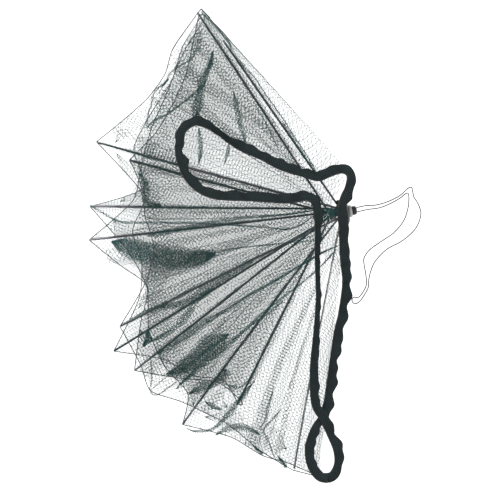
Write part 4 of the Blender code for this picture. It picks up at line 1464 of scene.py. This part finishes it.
@dataclass
class Ribs:
    """The twelve steel ribs, each in a sewn sleeve with lashings."""

    netting: Netting
    trees: dict[str, Tree]
    bow: float = 0.0016
    bevel: float = 0.0005
    sides: int = 14
    sleeve_width: float = 0.0042
    lashing_pitch: float = 0.011
    lashing_wire: float = 0.00022

    def build(self) -> None:
        """Build every rib, and the sleeves and lashings over them."""
        sleeves, lashes = [], []
        chance = random.Random(12)
        for side, net in (("outer", self.netting.outer), ("inner", self.netting.inner)):
            for corner, (start, tip) in net.ribs.items():
                run = tip - start
                level = Vector((-run.y, run.x, 0.0)).normalized()
                bend = self.bow * chance.uniform(-1.0, 1.0)
                length = run.length
                places = [0.0, self.bevel * 0.3, self.bevel]
                places += [length * step / 12 for step in range(1, 12)]
                places += [length - place for place in (self.bevel, self.bevel * 0.3, 0.0)]
                path = [
                    start + run * (place / length) + level * (bend * math.sin(math.pi * place / length))
                    for place in places
                ]
                ends = [RIB_RADIUS - self.bevel, RIB_RADIUS - self.bevel * 0.3]
                radii = ends + [RIB_RADIUS] * (len(places) - 4) + ends[::-1]
                bare = side == "outer" and corner == "f"
                # Sleeved ribs take the darkened steel, painted shade of their sleeves
                finish = Finish.BRIGHT if bare else Finish.SLEEVE_SHADED_STEEL
                name = f"rib_{side}_{corner}"
                rod = placed(name + "_rod", swept_mesh(name, path, radii, self.sides), finish)
                settle(rod, finish, name)
                middle = path[3:-3]
                if not bare:
                    above = [spot + UP * (RIB_RADIUS + 0.0004) for spot in middle]
                    widths = (self.sleeve_width * 0.6, self.sleeve_width, self.sleeve_width)
                    band = Band(above, widths, 2, 0.0005, SLEEVE_SEED + len(sleeves), 0.0005)
                    sleeves += band.strands(SLEEVE_WEAVE)
                lashes.append(middle)
        sleeve = self.netting.strands("rib_sleeves", sleeves, Finish.SEAM)
        settle(sleeve, Finish.SEAM)
        lashing = self.trees["coil"].grow(
            "rib_lashings", line_mesh("rib_lashings", lashes), Pitch=self.lashing_pitch,
            Radius=RIB_RADIUS + 0.0003, Wire=self.lashing_wire, Finish=Finish.SEAM.material()
        )
        settle(lashing, Finish.SEAM)


@dataclass
class Hubs:
    """The rear hub with its collar and cap, and the front hub on its stem."""

    sides: int = 40
    socket_sides: int = 18
    socket_radius: float = 0.0024
    socket_length: float = 0.005
    socket_bevel: float = 0.0005
    socket_sunk: float = 0.001

    def sockets(self, name: str, centre: Vector, ribs: dict[str, Rib]) -> list[bpy.types.Object]:
        """The raised sockets that the ribs stand in."""
        made = []
        for corner, rib in ribs.items():
            start = centre + ACROSS * rib.across + UP * (AXIS_HEIGHT + rib.above)
            run = (polar(rib.angle, rib.reach, rib.height) - start).normalized()
            profile = rounded(self.socket_length, self.socket_radius, self.socket_bevel)
            low = start - run * self.socket_sunk
            made.append(swept(f"{name}_{corner}", low, run, profile, self.socket_sides, Finish.BLACK))
        return made

    def build(self) -> None:
        """Build both hubs."""
        axis = UP * AXIS_HEIGHT
        half = REAR_HUB_LENGTH / 2
        rim = REAR_HUB_RADIUS
        profile = (
            (-half, rim * 0.55), (-half, rim * 0.74), (-half + 0.0006, rim * 0.80),
            (-half + 0.0018, rim * 0.97), (-half + 0.0024, rim), (-0.0012, rim), (-0.0008, rim - 0.0006),
            (0.0008, rim - 0.0006), (0.0012, rim), (half - 0.0008, rim), (half, rim - 0.0008),
            (half, rim * 0.5),
        )
        body = swept("hub_rear_body", axis, AHEAD, profile, self.sides, Finish.BLACK)
        parts = [body, *self.sockets("hub_rear", AHEAD * half, OUTER_RIBS)]
        rear = joined("hub_rear_body", parts)
        settle(rear, Finish.BLACK, "hub_rear")
        back = axis - AHEAD * (half + 0.0002)
        collar_profile = ((0.0, 0.0060), (0.0006, 0.0068), (0.0034, 0.0068), (0.0040, 0.0060))
        collar = swept("hub_collar", back, -AHEAD, collar_profile, self.sides, Finish.GREY)
        settle(collar, Finish.GREY)
        cap_start = back - AHEAD * 0.0042
        cap_profile = (
            (0.0, 0.0048), (0.0010, 0.0052), (0.0038, 0.0050), (0.0050, 0.0040), (0.0054, 0.0022),
        )
        cap = swept("hub_cap", cap_start, -AHEAD, cap_profile, self.sides, Finish.BLACK)
        settle(cap, Finish.BLACK)
        stem = FRONT_HUB_AHEAD - FRONT_HUB_LENGTH / 2
        radius = FRONT_HUB_RADIUS
        end = stem + FRONT_HUB_LENGTH
        front_profile = (
            (half + GAP, STEM_RADIUS - 0.0004), (half + GAP + 0.0004, STEM_RADIUS),
            (stem - 0.0006, STEM_RADIUS), (stem, STEM_RADIUS + 0.0006), (stem, radius - 0.0007),
            (stem + 0.0007, radius), (stem + 0.0030, radius), (stem + 0.0034, radius - 0.0005),
            (stem + 0.0040, radius - 0.0005),
            (stem + 0.0044, radius), (end - 0.0007, radius), (end, radius - 0.0007), (end, 0.0020),
        )
        front = swept("hub_front_body", axis, AHEAD, front_profile, self.sides, Finish.GREY)
        settle(front, Finish.GREY, "hub_front")


@dataclass
class Tapes:
    """The two zip tapes round the mouth: woven ribbon with a ruffled edge, a coil and overlock stitches."""

    netting: Netting
    trees: dict[str, Tree]
    step: float = 0.002
    thickness: float = 0.0009
    ruffle: float = 0.0042
    scallop: float = 0.0125
    curl: float = 0.007
    inset: float = 0.0006
    coil_radius: float = 0.0008
    coil_pitch: float = 0.0013
    coil_wire: float = 0.00028
    stitch_inset: float = 0.0010
    stitch_pitch: float = 0.0026
    stitch_radius: float = 0.0009
    stitch_wire: float = 0.00013
    across: int = 6
    held: float = -0.1
    lifted: float = 0.3
    edge_share: float = 0.35
    evened: int = 5
    feelers: tuple[float, float, float] = (-0.55, 0.0, 0.55)

    def surface(self) -> BVHTree:
        """The outer net's middle surface, coarsely."""
        net, cells, steps = self.netting.outer, 9, 3
        around = len(net.lines) * steps
        points = [
            net.point(step / steps, cell / cells) for cell in range(cells + 1) for step in range(around)
        ]
        faces = []
        for cell in range(cells):
            for step in range(around):
                after = (step + 1) % around
                low = cell * around
                faces.append((low + step, low + after, low + around + after, low + around + step))
        return BVHTree.FromPolygons(points, faces)

    def run(self, bends: Sequence[Bend], surface: BVHTree) -> tuple[list[Vector], list[Vector]]:
        """The middle line and the edge-to-edge direction of a tape, laid over the net.

        Args:
            bends: The tape's bends.
            surface: The net under it.

        Returns:
            The middle points, and a unit vector across the tape at each.
        """
        rows = [Vector((bend.x, bend.y, 0.0)) for bend in bends]
        count = int(run_length(rows) / self.step) + 1
        plan = spline(rows, count)
        total, reached = run_length(rows), [0.0]
        for before, after in zip(rows, rows[1:]):
            reached.append(reached[-1] + (after - before).length)
        sides, heights = [], []
        for step, here in enumerate(plan):
            goal = total * step / (count - 1)
            index = min(bisect_right(reached, goal) - 1, len(rows) - 2)
            share = min((goal - reached[index]) / (reached[index + 1] - reached[index]), 1.0)
            turn = math.radians(mix(bends[index].turn, bends[index + 1].turn, share))
            least = mix(bends[index].least, bends[index + 1].least, share)
            way = (plan[min(step + 1, count - 1)] - plan[max(step - 1, 0)]).normalized()
            side = Vector((-way.y, way.x, 0.0))
            sides.append(side * math.cos(turn) + UP * math.sin(turn))
            under = TAPE_THICKNESS / 2
            for part in self.feelers:
                spot = here + side * (TAPE_WIDTH * part)
                hit = surface.ray_cast(Vector((spot.x, spot.y, 0.1)), -UP)[0]
                if hit:
                    under = max(under, hit.z + NET_THICKNESS / 2 + 2 * GAP + TAPE_THICKNESS / 2)
            heights.append(max(under + TAPE_WIDTH / 2 * math.sin(turn), least))
        for step, here in enumerate(plan):
            near = heights[max(step - self.evened, 0) : step + self.evened + 1]
            here.z = 0.5 * max(near) + 0.5 * sum(near) / len(near)
        return plan, sides

    def ribbon(
        self, name: str, middle: Sequence[Vector], sides: Sequence[Vector], seed: float
    ) -> bpy.types.Mesh:
        """The tape's ruffled ribbon, with its edges rolled round."""
        points, marks, faces = [], [], []
        ring = 2 * (self.across + 1)
        for step, here in enumerate(middle):
            way = (middle[min(step + 1, len(middle) - 1)] - middle[max(step - 1, 0)]).normalized()
            up = way.cross(sides[step]).normalized()
            up = up if up.z > -0.2 else -up
            place = step * self.step
            wave = ripple(place, 0.0, self.scallop, seed)
            curl = ripple(place, 0.0, self.curl, seed + 4.0)
            row = []
            for number in range(self.across + 1):
                share = number / self.across - 0.5
                loose = max(share - self.held, 0.0) / (0.5 - self.held)
                offset = sides[step] * (TAPE_WIDTH * share + self.ruffle * wave * loose)
                lift = up * (self.ruffle * self.lifted * (curl + wave) * loose * loose)
                row.append((here + offset + lift, share))
            thick = up * (self.thickness / 2)
            for spot, share in row:
                points.append(spot + thick * (self.edge_share if abs(share) > 0.49 else 1.0))
                marks.append((place, share * TAPE_WIDTH))
            for spot, share in reversed(row):
                points.append(spot - thick * (self.edge_share if abs(share) > 0.49 else 1.0))
                marks.append((place, share * TAPE_WIDTH))
        for step in range(len(middle) - 1):
            low = step * ring
            for number in range(ring):
                after = (number + 1) % ring
                faces.append((low + number, low + ring + number, low + ring + after, low + after))
        last = ring * (len(middle) - 1)
        faces += [tuple(range(ring)), tuple(range(last, last + ring))[::-1]]
        return mapped_mesh(name, points, faces, marks)

    def build(self) -> None:
        """Build both tapes, their coils and their stitches."""
        surface = self.surface()
        for name, bends, seed in (("tape_upper", UPPER_TAPE, 1.0), ("tape_lower", LOWER_TAPE, 9.0)):
            middle, sides = self.run(bends, surface)
            tape = placed(name + "_ribbon", self.ribbon(name, middle, sides, seed), Finish.TAPE)
            settle(tape, Finish.TAPE, name)
            edge = TAPE_WIDTH / 2 - self.inset
            coil_run = [here - side * edge + UP * self.inset for here, side in zip(middle, sides)][1:-1]
            coil = self.trees["coil"].grow(
                name + "_coil", line_mesh(name, [coil_run]), Pitch=self.coil_pitch, Radius=self.coil_radius,
                Wire=self.coil_wire, Finish=Finish.COIL.material()
            )
            settle(coil, Finish.COIL)
            stitch_edge = edge - self.stitch_inset
            stitch_run = [here + side * stitch_edge for here, side in zip(middle, sides)][1:-1]
            stitch = self.trees["coil"].grow(
                name + "_stitches", line_mesh(name, [stitch_run]), Pitch=self.stitch_pitch,
                Radius=self.stitch_radius, Wire=self.stitch_wire, Finish=Finish.SEAM.material()
            )
            settle(stitch, Finish.SEAM)


@dataclass
class PullCord:
    """The doubled pull cord from the rear hub."""

    points: int = 300
    sides: int = 10

    def build(self) -> None:
        route = spline([Vector(point) for point in CORD_ROUTE], self.points)
        mesh = swept_mesh("pull_cord", route, [CORD_RADIUS] * len(route), self.sides)
        cord = placed("pull_cord_braid", mesh, Finish.CORD)
        settle(cord, Finish.CORD, "pull_cord")
        tuple(route[0])
        run_length(route)
        [tuple(spot) for spot in route]


@dataclass
class Studio:
    """The pale surface, the lights and the camera."""

    centre: tuple[float, float] = (-0.1064, -0.0428)
    camera_height: float = 1.60
    lens: float = 100.7
    floor_level: float = -0.0003
    glow: float = 0.95
    floor_half: float = 2.5
    lamp_size: float = 1.2
    key_power: float = 16.0
    fill_power: float = 9.0
    sky_strength: float = 0.35

    def floor(self) -> None:
        """A plain white surface that glows a little, as a light table does."""
        made = bpy.data.materials.new("white surface")
        made.use_nodes = True
        tree = made.node_tree
        surface = tree.nodes["Principled BSDF"]
        surface.inputs["Base Color"].default_value = (0.9, 0.9, 0.9, 1.0)
        surface.inputs["Roughness"].default_value = 0.9
        surface.inputs["Emission Color"].default_value = (1.0, 1.0, 1.0, 1.0)
        surface.inputs["Emission Strength"].default_value = self.glow
        mesh = bpy.data.meshes.new("white_surface")
        half = self.floor_half
        corners = [(-half, -half), (half, -half), (half, half), (-half, half)]
        mesh.from_pydata([(x, y, self.floor_level) for x, y in corners], [], [(0, 1, 2, 3)])
        mesh.materials.append(made)
        plane = bpy.data.objects.new("white_surface", mesh)
        bpy.context.scene.collection.objects.link(plane)

    def lamp(self, name: str, place: Vector, power: float) -> None:
        """A soft square lamp that faces the trap."""
        data = bpy.data.lights.new(name, "AREA")
        data.size = self.lamp_size
        data.energy = power
        lamp = bpy.data.objects.new(name, data)
        lamp.location = place
        aim = Vector((*self.centre, 0.0)) - place
        lamp.rotation_euler = aim.to_track_quat("-Z", "Y").to_euler()
        bpy.context.scene.collection.objects.link(lamp)

    def build(self) -> None:
        """Set up the surface, the lights and the camera."""
        self.floor()
        self.lamp("key", Vector((-0.9, 1.0, 1.5)), self.key_power)
        self.lamp("fill", Vector((1.1, -0.9, 1.4)), self.fill_power)
        world = bpy.data.worlds.new("studio")
        world.use_nodes = True
        sky = world.node_tree.nodes["Background"]
        sky.inputs["Color"].default_value = (1.0, 1.0, 1.0, 1.0)
        sky.inputs["Strength"].default_value = self.sky_strength
        bpy.context.scene.world = world
        data = bpy.data.cameras.new("camera")
        data.lens = self.lens
        camera = bpy.data.objects.new("camera", data)
        camera.location = (*self.centre, self.camera_height)
        bpy.context.scene.collection.objects.link(camera)
        bpy.context.scene.camera = camera
        bpy.context.scene.view_settings.view_transform = "Standard"


def main() -> None:
    """Build the scene."""
    logging.basicConfig(level=logging.INFO, format="%(message)s")
    Studio().build()
    PullCord().build()
    trees = {"strands": strand_tree(), "tube": tube_tree(), "coil": coil_tree()}
    netting = Netting(trees)
    Ribs(netting, trees).build()
    netting.build()
    Entrances(netting).build()
    Hubs().build()
    Tapes(netting, trees).build()


if __name__ == "__main__":
    main()
